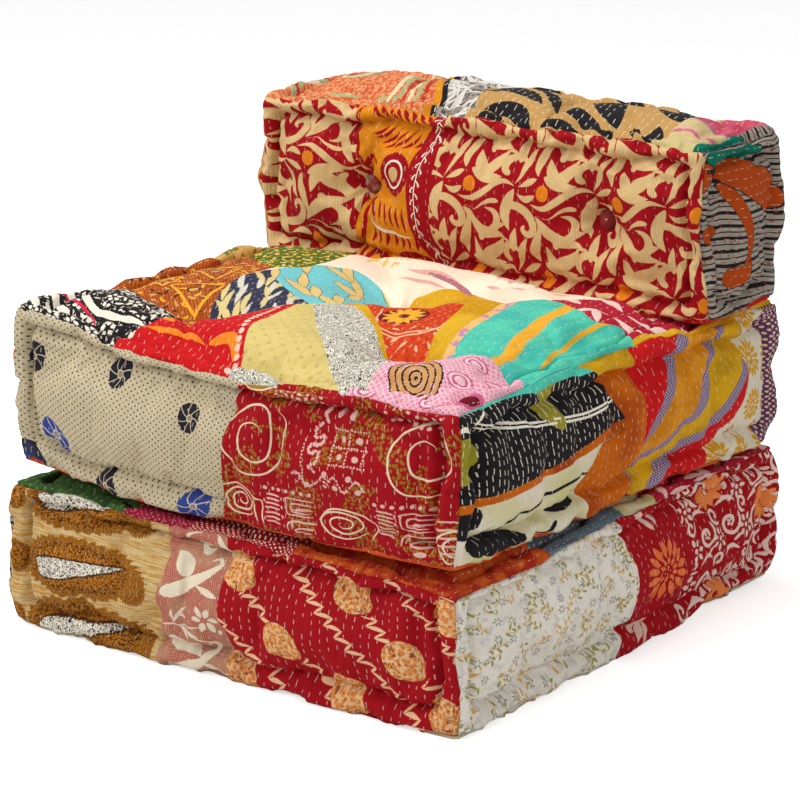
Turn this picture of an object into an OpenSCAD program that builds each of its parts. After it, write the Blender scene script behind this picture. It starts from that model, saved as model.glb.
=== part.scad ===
// Modular floor cushion sofa: three loose mattress cushions covered in patchwork quilt.
// A square base lies on the floor, a square seat lies on the base, and a long bolster stands on the
// rear of the seat as the back. Each cushion has six cover panels sewn along its edges, where the
// cloth is quilted into a roll, and tufts of twine that pull covered buttons into both faces.

/* [Base cushion] */
// Width of the base cushion, side to side over its rolled edges
base_w = 715; // [620:5:900]
// Depth of the base cushion, front to rear over its rolled edges
base_d = 735; // [620:5:900]
// Height of the base cushion
base_h = 195; // [150:5:240]

/* [Seat cushion] */
// Width of the seat cushion
seat_w = 700; // [620:5:900]
// Depth of the seat cushion
seat_d = 725; // [620:5:900]
// Height of the seat cushion at its rolled edges
seat_h = 205; // [150:5:240]
// How far the top of the seat swells above its rolled edges
seat_crown = 20; // [0:1:28]
// Distance from the front of the back cushion to the crest of the swollen seat
seat_crest_gap = 52; // [40:1:70]

/* [Back cushion] */
// Width of the back cushion
back_w = 705; // [620:5:900]
// Thickness of the back cushion, front to rear
back_d = 190; // [150:5:220]
// Height of the back cushion at its rolled edges
back_h = 225; // [150:5:260]
// How far the top of the back cushion swells above its rolled edges
back_crown = 10; // [0:1:20]
// Distance from the rear of the seat cushion to the rear of the back cushion
back_inset = 10; // [0:1:30]

/* [Rolled edges] */
// Radius of the stitched roll along every edge
roll_r = 20; // [14:1:24]
// Distance from an edge to the stitched groove behind its roll
groove_at = 38; // [30:1:44]
// Depth of the stitched groove
groove_depth = 10; // [4:1:14]
// How far the upright faces swell between their rolls
side_crown = 6; // [0:1:12]
// Length over which a face rises from its groove to its full swell
swell_run = 80; // [50:5:110]

/* [Tufts] */
// Distance of the outer tufts from the middle of the base and seat, side to side
tuft_x = 165; // [130:5:190]
// Distance of the outer tufts from the middle of the base and seat, front to rear
tuft_y = 210; // [180:5:235]
// Distance of the left tuft of the back cushion from its middle
back_tuft_left = 172; // [150:1:195]
// Distance of the right tuft of the back cushion from its middle
back_tuft_right = 202; // [150:1:205]
// How deep a tuft pulls the cloth below the rolls
tuft_depth = 14; // [8:1:18]
// Radius of the dimple round a tuft
tuft_reach = 50; // [35:1:60]
// Diameter of a covered button
button_d = 26; // [18:1:32]
// Height of a button's dome over its rim
button_dome = 6; // [3:0.5:9]
// Diameter of the tuft twine
twine_d = 2.5; // [1.5:0.1:4]
// Diameter of the holes that the twine passes through
needle_hole_d = 4; // [4:0.2:6]

/* [Cloth] */
// Thickness of the quilted cover
cloth = 3; // [2:0.5:5]
// Gap between the filling and the cover, and between one cushion and the next
clearance = 0.3; // [0.2:0.1:0.6]

/* [Hidden] */

// The floor presses the underside of the base flat by this much
floor_flat = 0.5;

// Heights of the undersides
seat_z = base_h + clearance;
back_z = seat_z + seat_h + clearance;
// Middle of the back cushion, and the line across the seat where its weight begins
back_y = seat_d / 2 - back_inset - back_d / 2;
press_margin = 7;
press_y = back_y - back_d / 2 - press_margin;
crest_y = back_y - back_d / 2 - seat_crest_gap;

// Grid lines of a face. Outside they are the seam, the crest of the roll, the groove and the
// shoulder behind it; inside the roll is stuffed, so the cloth runs straight from seam to groove.
outer_edge = [0, roll_r, groove_at, 2 * groove_at - roll_r];
inner_edge = [0, groove_at];

function lines_across(size, edge, between) =
    concat(
        [for (d = edge) d - size / 2],
        between,
        [for (i = [len(edge) - 1:-1:0]) size / 2 - edge[i]]
    );

// Outer and inner grid lines along X, Y and Z, from the lines between the edges
function both_layers(size, between) =
    [
        for (edge = [outer_edge, inner_edge])
            [for (i = [0:2]) lines_across(size[i], edge, between[i])]
    ];

// On the back cushion each tuft has a line on both sides
back_near = 65;
back_tuft_mid = (back_tuft_right - back_tuft_left) / 2;
back_between = concat(
    [for (n = [-back_near, 0, back_near]) n - back_tuft_left],
    [back_tuft_mid],
    [for (n = [-back_near, 0, back_near]) n + back_tuft_right]
);
square_between = [-tuft_x, -tuft_x / 2, 0, tuft_x / 2, tuft_x];

// Tufts lie as a five on the square cushions, and in a row on the back
square_tufts = [[0, 0, 0], for (x = [-tuft_x, tuft_x], y = [-tuft_y, tuft_y]) [x, y, 0]];
back_tufts = [[-back_tuft_left, 0, 0], [back_tuft_right, 0, 0]];

// A cushion: size, centre, the lines between its edges along X, Y and Z, tufts, the axis that the
// tufts run along, swell of the upper face, and how far to the rear that face swells
base_cushion = [
    [base_w, base_d, base_h + floor_flat],
    [0, 0, (base_h - floor_flat) / 2],
    [square_between, [-tuft_y, -tuft_y / 2, 0, tuft_y / 2, tuft_y], [0]],
    square_tufts, 2, 0, base_d / 2 - groove_at
];
seat_cushion = [
    [seat_w, seat_d, seat_h],
    [0, 0, seat_z + seat_h / 2],
    [square_between, [-tuft_y, -tuft_y / 2, 0, crest_y, press_y, tuft_y], [0]],
    square_tufts, 2, seat_crown, press_y
];
back_cushion = [
    [back_w, back_d, back_h],
    [0, back_y, back_z + back_h / 2],
    [back_between, [0], [0]],
    back_tufts, 1, back_crown, back_d / 2 - groove_at
];

function half_of(cushion) = cushion[0] / 2;
function centre_of(cushion) = cushion[1];
function lines_of(cushion) = both_layers(cushion[0], cushion[2]);
function tufts_of(cushion) = cushion[3];
function tuft_axis_of(cushion) = cushion[4];
function top_crown_of(cushion) = cushion[5];
function top_rear_of(cushion) = cushion[6];

// A face: the axis that it is square to, and the side that it lies on
right = [0, 1];
left = [0, -1];
rear = [1, 1];
front = [1, -1];
top = [2, 1];
bottom = [2, -1];

function clamped(x, low, high) = min(max(x, low), high);
function unit(v) = v / norm(v);
function rise(run) = sin(90 * clamped(run / swell_run, 0, 1));

// Height of the stitched groove at a distance from the edge
function groove(d) = -groove_depth * max(0, 1 - abs(d - groove_at) / (groove_at - roll_r));

// Swell of a face between its grooves: pressed faces have none
function swell(cushion, face, q) =
    let (
        half = half_of(cushion),
        i = (face[0] + 1) % 3,
        j = (face[0] + 2) % 3,
        crown = face == top ? top_crown_of(cushion) : face == bottom ? 0 : side_crown,
        far_j = face == top ? top_rear_of(cushion) : half[j] - groove_at
    )
    crown * rise(half[i] - groove_at - abs(q[i]))
        * rise(q[j] + half[j] - groove_at) * rise(far_j - q[j]);

// How far the tufts of a face draw a point in, from 0 to 1 at a tuft
function pull(cushion, face, q) =
    face[0] != tuft_axis_of(cushion) ? 0 :
    let (
        i = (face[0] + 1) % 3,
        j = (face[0] + 2) % 3,
        reach = [for (t = tufts_of(cushion)) norm([q[i] - t[i], q[j] - t[j]])]
    )
    max(0, 1 - min(reach) / tuft_reach);

function relief(cushion, face, q) =
    let (
        half = half_of(cushion),
        i = (face[0] + 1) % 3,
        j = (face[0] + 2) % 3,
        drawn = pull(cushion, face, q)
    )
    groove(min(half[i] - abs(q[i]), half[j] - abs(q[j])))
        + (1 - drawn) * swell(cushion, face, q) - drawn * tuft_depth;

// Point of a face at a depth under its cloth, for a point q on the block round the cushion.
// The edges of the block are rounded to the radius of the roll.
function skin_point(cushion, face, q, depth) =
    let (
        core = half_of(cushion) - [roll_r, roll_r, roll_r],
        c = [for (i = [0:2]) clamped(q[i], -core[i], core[i])]
    )
    centre_of(cushion) + c + (roll_r - depth + relief(cushion, face, q)) * unit(q - c);

// Point of the block where grid lines u and v of a face cross
function block_point(cushion, face, u, v) =
    let (half = half_of(cushion), k = face[0])
    [for (i = [0:2]) i == k ? face[1] * half[k] : i == (k + 1) % 3 ? u : v];

function u_lines(cushion, face, layer) = lines_of(cushion)[layer][(face[0] + 1) % 3];
function v_lines(cushion, face, layer) = lines_of(cushion)[layer][(face[0] + 2) % 3];

function face_points(cushion, face, layer, depth) =
    [
        for (v = v_lines(cushion, face, layer), u = u_lines(cushion, face, layer))
            skin_point(cushion, face, block_point(cushion, face, u, v), depth)
    ];

function flipped(triangles) = [for (t = triangles) [t[2], t[1], t[0]]];
function turned(face, triangles) = face[1] > 0 ? triangles : flipped(triangles);

function is_tuft(cushion, face, u, v) =
    pull(cushion, face, block_point(cushion, face, u, v)) == 1;

// Triangles of a face's grid, clockwise from outside. The diagonals run through the tufts, and
// elsewhere they point at the corners.
function grid_triangles(cushion, face, layer, start = 0) =
    let (us = u_lines(cushion, face, layer), vs = v_lines(cushion, face, layer), n = len(us))
    turned(face, [
        for (j = [0:len(vs) - 2], i = [0:n - 2])
            let (
                a = start + j * n + i,
                b = a + 1,
                c = a + n + 1,
                d = a + n,
                on_ac = is_tuft(cushion, face, us[i], vs[j])
                    || is_tuft(cushion, face, us[i + 1], vs[j + 1]),
                on_bd = is_tuft(cushion, face, us[i + 1], vs[j])
                    || is_tuft(cushion, face, us[i], vs[j + 1]),
                outward = (us[i] + us[i + 1]) * (vs[j] + vs[j + 1]) > 0
            )
            each on_ac || (outward && !on_bd) ? [[a, c, b], [a, d, c]] : [[a, d, b], [b, d, c]]
    ]);

function reversed(list) = [for (i = [len(list) - 1:-1:0]) list[i]];
function places_in(list, items) = [for (x = items) search(x, list)[0]];

// Strip between two rows of points, where the k-th inner point lies beside outs[at[k]]
function strip(outs, ins, at) =
    [
        for (k = [0:len(ins) - 2]) each concat(
            [for (i = [at[k]:at[k + 1] - 1]) [outs[i], outs[i + 1], ins[k]]],
            [[outs[at[k + 1]], ins[k + 1], ins[k]]]
        )
    ];

// Edge of a panel, along which the outside and the inside of its cloth are joined
function rim_triangles(cushion, face) =
    let (
        us = u_lines(cushion, face, 0),
        vs = v_lines(cushion, face, 0),
        ui = u_lines(cushion, face, 1),
        vi = v_lines(cushion, face, 1),
        n = len(us),
        m = len(vs),
        p = len(ui),
        q = len(vi),
        inside = n * m,
        u_at = places_in(us, ui),
        v_at = places_in(vs, vi),
        u_back = [for (k = reversed(u_at)) n - 1 - k],
        v_back = [for (k = reversed(v_at)) m - 1 - k]
    )
    turned(face, concat(
        strip([for (i = [0:n - 1]) i], [for (i = [0:p - 1]) inside + i], u_at),
        strip(
            [for (j = [0:m - 1]) j * n + n - 1],
            [for (j = [0:q - 1]) inside + j * p + p - 1],
            v_at
        ),
        strip(
            [for (i = [n - 1:-1:0]) (m - 1) * n + i],
            [for (i = [p - 1:-1:0]) inside + (q - 1) * p + i],
            u_back
        ),
        strip([for (j = [m - 1:-1:0]) j * n], [for (j = [q - 1:-1:0]) inside + j * p], v_back)
    ));

// A cover panel, which meets its neighbours in the seams along the crests of the edges
module cover_panel(cushion, face) {
    outside = face_points(cushion, face, 0, 0);
    polyhedron(
        concat(outside, face_points(cushion, face, 1, cloth)),
        concat(
            grid_triangles(cushion, face, 0),
            flipped(grid_triangles(cushion, face, 1, len(outside))),
            rim_triangles(cushion, face)
        )
    );
}

// The filling: six faces under the cloth, which share the points along their edges
module filling_block(cushion) {
    faces = [right, left, rear, front, top, bottom];
    grids = [for (f = faces) face_points(cushion, f, 1, cloth + clearance)];
    starts = [for (i = 0, n = 0; i < len(faces); n = n + len(grids[i]), i = i + 1) n];
    polyhedron(
        [for (g = grids) each g],
        [for (i = [0:len(faces) - 1]) each grid_triangles(cushion, faces[i], 1, starts[i])]
    );
}

// Places its children at each tuft, with +Z out along the side of the tuft axis
module at_tufts(cushion, side) {
    along_z = tuft_axis_of(cushion) == 2;
    half = half_of(cushion)[tuft_axis_of(cushion)];
    for (t = tufts_of(cushion))
        translate(centre_of(cushion) + t)
            rotate(along_z ? [side > 0 ? 0 : 180, 0, 0] : [-90 * side, 0, 0])
                translate([0, 0, half]) children();
}

// Holes for the twine, right through a cushion
module needle_holes(cushion) {
    through = 2 * half_of(cushion)[tuft_axis_of(cushion)];
    at_tufts(cushion, 1)
        translate([0, 0, -1.5 * through]) cylinder(h = 2 * through, d = needle_hole_d, $fn = 24);
}

module tufted_panel(cushion, face) {
    difference() {
        cover_panel(cushion, face);
        needle_holes(cushion);
    }
}

module tufted_filling(cushion) {
    difference() {
        filling_block(cushion);
        needle_holes(cushion);
    }
}

// Slope of the dimple's steepest side, from the swell round it and the nearest grid lines
function dimple_slope(crown, near) =
    (crown + tuft_depth) * norm([for (n = near) 1 / max(n, tuft_reach)]);
base_slope = dimple_slope(0, [tuft_x / 2, tuft_y / 2]);
seat_slope = dimple_slope(seat_crown, [tuft_x / 2, min(tuft_y / 2, crest_y)]);
under_seat_slope = dimple_slope(0, [tuft_x / 2, min(tuft_y / 2, crest_y, tuft_y - press_y)]);
back_slope = dimple_slope(side_crown, [back_near, back_h / 2 - outer_edge[3]]);

// Height of a button's tip over the face: it nests in the dimple, clear of the cloth
function tip_height(slope) = -tuft_depth + clearance + slope * needle_hole_d / 2;

// A covered button: a dome over a cone that follows the dimple, flat where the twine comes in
module covered_button(slope) {
    r = button_d / 2;
    tip_r = needle_hole_d / 2;
    rim = slope * (r - tip_r);
    translate([0, 0, tip_height(slope)])
        rotate_extrude($fn = 48)
            polygon(concat(
                [[0, 0], [tip_r, 0]],
                [for (a = [0:15:75]) [r * cos(a), rim + button_dome * sin(a)]],
                [[0, rim + button_dome]]
            ));
}

module buttons(cushion, side, slope) {
    at_tufts(cushion, side) covered_button(slope);
}

// Twine from the tip of each button to the tip of its partner on the other face
module tuft_twine(cushion, slope_out, slope_in) {
    through = 2 * half_of(cushion)[tuft_axis_of(cushion)];
    low = -through - tip_height(slope_in);
    high = tip_height(slope_out);
    at_tufts(cushion, 1)
        translate([0, 0, low]) cylinder(h = high - low, d = twine_d, $fn = 24);
}

// Base cushion
module base_top_panel() { color("#6f7a2e") tufted_panel(base_cushion, top); }
module base_bottom_panel() {
    color("#b9a98a")
        intersection() {
            tufted_panel(base_cushion, bottom);
            translate([-base_w, -base_d, 0]) cube([2 * base_w, 2 * base_d, base_h]);
        }
}
module base_front_panel() { color("#b03038") cover_panel(base_cushion, front); }
module base_rear_panel() { color("#c98a2c") cover_panel(base_cushion, rear); }
module base_left_panel() { color("#2f6f62") cover_panel(base_cushion, left); }
module base_right_panel() { color("#dcd4c2") cover_panel(base_cushion, right); }
module base_filling() { color("#efe8d8") tufted_filling(base_cushion); }
module base_top_buttons() { color("#a8232c") buttons(base_cushion, 1, base_slope); }
module base_bottom_buttons() { color("#a8232c") buttons(base_cushion, -1, base_slope); }
module base_tuft_twine() { color("#f2ead6") tuft_twine(base_cushion, base_slope, base_slope); }

// Seat cushion
module seat_top_panel() { color("#c9552b") tufted_panel(seat_cushion, top); }
module seat_bottom_panel() { color("#b9a98a") tufted_panel(seat_cushion, bottom); }
module seat_front_panel() { color("#d8ccae") cover_panel(seat_cushion, front); }
module seat_rear_panel() { color("#7d2742") cover_panel(seat_cushion, rear); }
module seat_left_panel() { color("#3a5f8f") cover_panel(seat_cushion, left); }
module seat_right_panel() { color("#e09a28") cover_panel(seat_cushion, right); }
module seat_filling() { color("#efe8d8") tufted_filling(seat_cushion); }
module seat_top_buttons() { color("#a8232c") buttons(seat_cushion, 1, seat_slope); }
module seat_bottom_buttons() { color("#a8232c") buttons(seat_cushion, -1, under_seat_slope); }
module seat_tuft_twine() { color("#f2ead6") tuft_twine(seat_cushion, seat_slope, under_seat_slope); }

// Back cushion
module back_top_panel() { color("#d0a262") cover_panel(back_cushion, top); }
module back_bottom_panel() { color("#b9a98a") cover_panel(back_cushion, bottom); }
module back_front_panel() { color("#b21420") tufted_panel(back_cushion, front); }
module back_rear_panel() { color("#8a4a9a") tufted_panel(back_cushion, rear); }
module back_left_panel() { color("#c9552b") cover_panel(back_cushion, left); }
module back_right_panel() { color("#8f8a82") cover_panel(back_cushion, right); }
module back_filling() { color("#efe8d8") tufted_filling(back_cushion); }
module back_front_buttons() { color("#a8232c") buttons(back_cushion, -1, back_slope); }
module back_rear_buttons() { color("#a8232c") buttons(back_cushion, 1, back_slope); }
module back_tuft_twine() { color("#f2ead6") tuft_twine(back_cushion, back_slope, back_slope); }

base_top_panel();
base_bottom_panel();
base_front_panel();
base_rear_panel();
base_left_panel();
base_right_panel();
base_filling();
base_top_buttons();
base_bottom_buttons();
base_tuft_twine();
seat_top_panel();
seat_bottom_panel();
seat_front_panel();
seat_rear_panel();
seat_left_panel();
seat_right_panel();
seat_filling();
seat_top_buttons();
seat_bottom_buttons();
seat_tuft_twine();
back_top_panel();
back_bottom_panel();
back_front_panel();
back_rear_panel();
back_left_panel();
back_right_panel();
back_filling();
back_front_buttons();
back_rear_buttons();
back_tuft_twine();
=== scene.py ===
import math
import random
from types import SimpleNamespace

import bmesh
import bpy
import numpy as np
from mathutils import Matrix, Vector


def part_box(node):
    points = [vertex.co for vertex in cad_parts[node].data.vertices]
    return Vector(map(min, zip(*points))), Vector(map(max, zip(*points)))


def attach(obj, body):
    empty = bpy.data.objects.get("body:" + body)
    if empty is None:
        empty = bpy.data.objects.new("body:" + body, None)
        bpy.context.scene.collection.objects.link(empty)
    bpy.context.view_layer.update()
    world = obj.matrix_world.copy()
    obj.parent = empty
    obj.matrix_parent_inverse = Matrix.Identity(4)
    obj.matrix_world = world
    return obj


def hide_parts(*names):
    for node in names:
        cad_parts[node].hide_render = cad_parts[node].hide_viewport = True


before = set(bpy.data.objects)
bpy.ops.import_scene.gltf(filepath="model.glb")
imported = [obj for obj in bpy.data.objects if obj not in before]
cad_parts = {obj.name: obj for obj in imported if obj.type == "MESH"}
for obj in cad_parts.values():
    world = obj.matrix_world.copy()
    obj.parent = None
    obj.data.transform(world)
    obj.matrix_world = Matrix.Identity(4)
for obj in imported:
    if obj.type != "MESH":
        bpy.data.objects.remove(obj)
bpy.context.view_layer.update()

# Camera at the photograph's angle, from a fit to the corners of the three cushions
photoView = dict(azimuth=36.5, elevation=15.9, distance=4.22, aim=(0, 0, 0.276), focalPx=3226, widthPx=800)


def placeCamera(view):
    turn, rise = math.radians(view["azimuth"]), math.radians(view["elevation"])
    back = Vector((math.sin(turn) * math.cos(rise), -math.cos(turn) * math.cos(rise), math.sin(rise)))
    camera = bpy.data.objects.new("camera", bpy.data.cameras.new("camera"))
    camera.location = Vector(view["aim"]) + back * view["distance"]
    camera.rotation_euler = (-back).to_track_quat("-Z", "Y").to_euler()
    camera.data.sensor_width = 36
    camera.data.lens = 36 * view["focalPx"] / view["widthPx"]
    bpy.context.scene.collection.objects.link(camera)
    bpy.context.scene.camera = camera


# Soft studio light: a white world and two large lamps
studio = dict(
    worldStrength=0.42,
    lamps=[
        dict(name="overhead", place=(-0.5, -0.5, 3.6), size=2.2, power=70),
        dict(name="key", place=(-2.4, -2.8, 2.4), size=1.6, power=62),
        dict(name="fill", place=(3.4, -1.0, 1.8), size=1.8, power=30),
    ],
    floorColour=(0.86, 0.86, 0.86), floorGlow=0.56,
)


def lightStudio(light):
    world = bpy.data.worlds.new("studio")
    world.use_nodes = True
    bpy.context.scene.world = world
    tree = world.node_tree
    shown = tree.nodes["Background"]
    shown.inputs["Color"].default_value = (1, 1, 1, 1)
    plain = tree.nodes.new("ShaderNodeBackground")
    plain.inputs["Strength"].default_value = light["worldStrength"]
    path = tree.nodes.new("ShaderNodeLightPath")
    seen = tree.nodes.new("ShaderNodeMath")
    seen.operation = "MAXIMUM"
    tree.links.new(path.outputs["Is Camera Ray"], seen.inputs[0])
    tree.links.new(path.outputs["Is Glossy Ray"], seen.inputs[1])
    mix = tree.nodes.new("ShaderNodeMixShader")
    tree.links.new(seen.outputs[0], mix.inputs[0])
    tree.links.new(plain.outputs[0], mix.inputs[1])
    tree.links.new(shown.outputs[0], mix.inputs[2])
    tree.links.new(mix.outputs[0], tree.nodes["World Output"].inputs["Surface"])
    for spec in light["lamps"]:
        lamp = bpy.data.lights.new(spec["name"], "AREA")
        lamp.size = spec["size"]
        lamp.energy = spec["power"]
        holder = bpy.data.objects.new(spec["name"], lamp)
        holder.location = spec["place"]
        aim = Vector((0, 0, 0.3)) - Vector(spec["place"])
        holder.rotation_euler = aim.to_track_quat("-Z", "Y").to_euler()
        bpy.context.scene.collection.objects.link(holder)


placeCamera(photoView)
lightStudio(studio)
bpy.context.scene.view_settings.view_transform = "Standard"
print("camera and light are set")

# Faces of a cushion seen from outside: (normal axis, side, right axis, right sign, up axis, up sign)
faceAxes = dict(
    front=(1, -1, 0, 1, 2, 1), rear=(1, 1, 0, -1, 2, 1), right=(0, 1, 1, 1, 2, 1),
    left=(0, -1, 1, -1, 2, 1), top=(2, 1, 0, 1, 1, 1), bottom=(2, -1, 0, 1, 1, -1),
)

# Sewing of the cushions, in millimetres. Outer sizes come from the frame.
sewing = dict(
    rollRadius=20, crease=12.5, creaseRun=10, bulge=4.4, bulgeAt=12, bulgeReach=9, shoulder=15, swellRun=80,
    seamRidge=2.4, ridgeReach=2.8, gridStep=dict(base=4.2, seat=4.0, back=3.0), simStep=9.5, tuck=5,
    narrow=dict(base_front=1.5, base_right=1.6, seat_front=1.55),   # top rolls that are this much narrower
)
tufting = dict(depth=dict(base=14, seat=14, back=19), flat=12, reach=dict(base=40, seat=40, back=26))
grooves = dict(base=34, seat=33, back=28)
crowns = dict(
    seat=dict(top=20, front=8, right=8, left=8, rear=8), back=dict(top=11, front=11, rear=8, right=6, left=6),
    base=dict(front=8, right=8, left=8, rear=8),
)
seatPress = dict(crest=110.5, flatFrom=155.5, give=40)   # from the seat's middle to where it lies flat
seatFold = dict(rise=11, at=(330, 112), reach=(125, 26))  # loose cloth in front of the back cushion

# Uneven filling, and the pinches where the rolls are tied: offsets that panels share along their edges
filling = dict(
    lump=2.6, waves=9, shortest=48, longest=120, turn=6.3, seed=40,
    pinch=2.6, pinchApart=57, pinchReach=24, pinchSharp=5, drift=71,
    rimShare=(0.55, 0.45), floorShare=0.65, floorReach=34,
)


def measureCushion(name):
    inset = sewing["rollRadius"] * (1 - math.sqrt(0.5))
    low, high = (np.array(corner) * 1000 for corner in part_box(name + "_top_panel"))
    lowSide, highSide = (np.array(corner) * 1000 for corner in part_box(name + "_front_panel"))
    size = (high - low) + 2 * inset
    size[2] = (highSide - lowSide)[2] + 2 * inset
    centre = (high + low) / 2
    centre[2] = (highSide + lowSide)[2] / 2
    buttons = name + ("_front_buttons" if name == "back" else "_top_buttons")
    lowButton, highButton = (np.array(corner) * 1000 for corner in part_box(buttons))
    if name == "back":
        radius = (highButton - lowButton)[2] / 2
        across = [lowButton[0] + radius, highButton[0] - radius]
        tufts = [(x - centre[0], 0.0) for x in across]
        tuftFaces = ("front", "rear")
    else:
        radius = (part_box("back_front_buttons")[1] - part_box("back_front_buttons")[0])[2] * 500
        x, y = (highButton - lowButton)[:2] / 2 - radius
        tufts = [(0, 0)] + [(sx * x, sy * y) for sx in (-1, 1) for sy in (-1, 1)]
        tuftFaces = ("top", "bottom")
    rng = np.random.default_rng(filling["seed"] + len(name) + ord(name[0]))
    ways = rng.normal(size=(filling["waves"], 3))
    ways /= np.linalg.norm(ways, axis=1, keepdims=True)
    lumps = [(way * 2 * math.pi / rng.uniform(filling["shortest"], filling["longest"]),
              rng.uniform(0, filling["turn"])) for way in ways]
    return dict(name=name, size=size, centre=centre, tufts=tufts, tuftFaces=tuftFaces, groove=grooves[name],
                buttonRadius=radius, crowns=crowns[name], lumps=lumps)


cushions = {name: measureCushion(name) for name in ("base", "seat", "back")}


def smooth(x):
    x = np.clip(x, 0, 1)
    return x * x * (3 - 2 * x)


def ramp(x, start, run):
    return smooth((x - start) / run)


def hump(x, at, reach, power=2):
    return np.exp(-((x - at) / reach) ** power)


def faceSize(cushion, face):
    _, _, right, _, up, _ = faceAxes[face]
    return cushion["size"][right], cushion["size"][up]


def tuftsOn(cushion, face):
    if face not in cushion["tuftFaces"]:
        return []
    _, _, _, rightSign, _, upSign = faceAxes[face]
    wide, high = faceSize(cushion, face)
    return [(wide / 2 + rightSign * x, high / 2 + upSign * y) for x, y in cushion["tufts"]]


# The groove doesn't run straight: two waves, each with a size and a length, change its distance from the edge
straying = dict(long=(2.6, 31), short=(1.8, 17.3), shortTurn=2.7, begins=(0, 20), ends=(55, 40),
                corner=16.0, cornerFrom=(12, 20))


def stray(along, seed):
    (size, length), (smallSize, shortLength) = straying["long"], straying["short"]
    fine = smallSize * np.sin(along / shortLength + straying["shortTurn"] * seed)
    return size * np.sin(along / length + seed) + fine


def narrowing(cushion, face):
    return sewing["narrow"].get(cushion["name"] + "_" + face, 1)


def edgeDistance(cushion, face, u, v):
    wide, high = faceSize(cushion, face)
    a, b = np.minimum(u, wide - u), np.minimum(v, (high - v) * narrowing(cushion, face))
    seed = ord(face[0]) + ord(cushion["name"][1])
    a = a + stray(v, seed) * ramp(a, *straying["begins"]) * (1 - ramp(a, *straying["ends"]))
    b = b + stray(u, seed + 2) * ramp(b, *straying["begins"]) * (1 - ramp(b, *straying["ends"]))
    near, blend = np.minimum(a, b), straying["corner"]
    mixed = np.clip((blend - np.abs(a - b)) / blend, 0, 1)
    return near - mixed * mixed * blend / 4 * ramp(near, *straying["cornerFrom"])


# The lower roll of the seat's front flattens out towards the right
flatRoll = dict(share=0.9, fromLeft=(300, 70), fromRight=75, fade=30, below=(55, 35))


def creaseShare(cushion, face, u, v):
    if (cushion["name"], face) != ("seat", "front"):
        return np.ones_like(u)
    wide = faceSize(cushion, face)[0]
    gone = ramp(u, *flatRoll["fromLeft"]) * (1 - ramp(u - wide + flatRoll["fromRight"], 0, flatRoll["fade"]))
    return 1 - flatRoll["share"] * gone * (1 - ramp(v, *flatRoll["below"]))


def rollProfile(d, groove):
    radius, run = sewing["rollRadius"], sewing["creaseRun"]
    rounded = -radius + np.sqrt(radius ** 2 - np.clip(d - radius, 0, radius * 0.95) ** 2)
    pinch = sewing["crease"] * smooth((d - groove + run) / run) ** 1.3
    return rounded - pinch + sewing["bulge"] * hump(d, sewing["bulgeAt"], sewing["bulgeReach"])


def pressedFlat(fromMiddle):
    # 0 on the open seat, 1 under the back cushion
    return ramp(fromMiddle, seatPress["crest"], seatPress["flatFrom"] - seatPress["crest"])


def reliefOf(cushion, face, u, v):
    groove, run = cushion["groove"], sewing["shoulder"]
    d = edgeDistance(cushion, face, u, v)
    wide, high = faceSize(cushion, face)
    onRoll, deep = rollProfile(d, groove), rollProfile(groove, groove)
    rise = np.clip((d - groove) / run, 0, 1)
    shoulder = deep * (1 - np.sqrt(1 - (1 - rise) ** 2))
    a, b = np.minimum(u, wide - u), np.minimum(v, high - v)
    crown = cushion["crowns"].get(face, 0)
    swell = crown * (np.sin(smooth((a - groove) / sewing["swellRun"]) * math.pi / 2)
                     * np.sin(smooth((b - groove) / sewing["swellRun"]) * math.pi / 2))
    if cushion["name"] == "seat" and face == "top":
        fromMiddle = v - high / 2
        (foldU, foldV), (reachU, reachV) = seatFold["at"], seatFold["reach"]
        fold = seatFold["rise"] * hump(fromMiddle, foldV, reachV) * hump(u, foldU, reachU)
        swell = swell * (1 - pressedFlat(fromMiddle)) + fold
    share = creaseShare(cushion, face, u, v)
    relief = np.where(d < groove, onRoll, shoulder + swell) * share + swell * (1 - share)
    inward = smooth((np.minimum(a, b) - 2) / 26)
    for x, y in tuftsOn(cushion, face):
        r = np.hypot(u - x, v - y)
        beyond = np.maximum(r - tufting["flat"], 0)
        pull = hump(beyond, 0, tufting["reach"][cushion["name"]], 1.2) * inward
        relief = relief * (1 - pull) - tufting["depth"][cushion["name"]] * pull
    return relief


def unevenness(cushion, q):
    half = cushion["size"] / 2
    total = sum(np.sin(q @ way + phase) for way, phase in cushion["lumps"]) * filling["lump"] / 3
    near = [hump(half[axis] - np.abs(q[..., axis]), 0, filling["pinchReach"]) for axis in range(3)]
    inside = smooth((np.sum(near, 0) - 1) * 2)
    for axis in range(3):
        other = near[(axis + 1) % 3] * near[(axis + 2) % 3]
        shift = 0.5 * np.sin(q[..., axis] / filling["drift"] + axis + len(cushion["name"]))
        tied = np.maximum(np.cos(2 * math.pi * (q[..., axis] / filling["pinchApart"] + shift)), 0)
        total -= filling["pinch"] * other * tied ** filling["pinchSharp"] * (1 - near[axis])
    lying = 1 - filling["floorShare"] * hump(half[2] + q[..., 2], 0, filling["floorReach"])
    least, more = filling["rimShare"]
    return total * (least + more * inside) * lying


def skin(cushion, face, u, v, extra=0.0):
    axis, side, right, rightSign, up, upSign = faceAxes[face]
    half = cushion["size"] / 2
    q = np.zeros(u.shape + (3,))
    q[..., axis] = side * half[axis]
    q[..., right] = rightSign * (u - half[right])
    q[..., up] = upSign * (v - half[up])
    core = np.clip(q, -(half - sewing["rollRadius"]), half - sewing["rollRadius"])
    way = q - core
    way /= np.linalg.norm(way, axis=-1, keepdims=True)
    reach = sewing["rollRadius"] + reliefOf(cushion, face, u, v) + unevenness(cushion, q) + extra
    return core + way * reach[..., None], way


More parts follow.
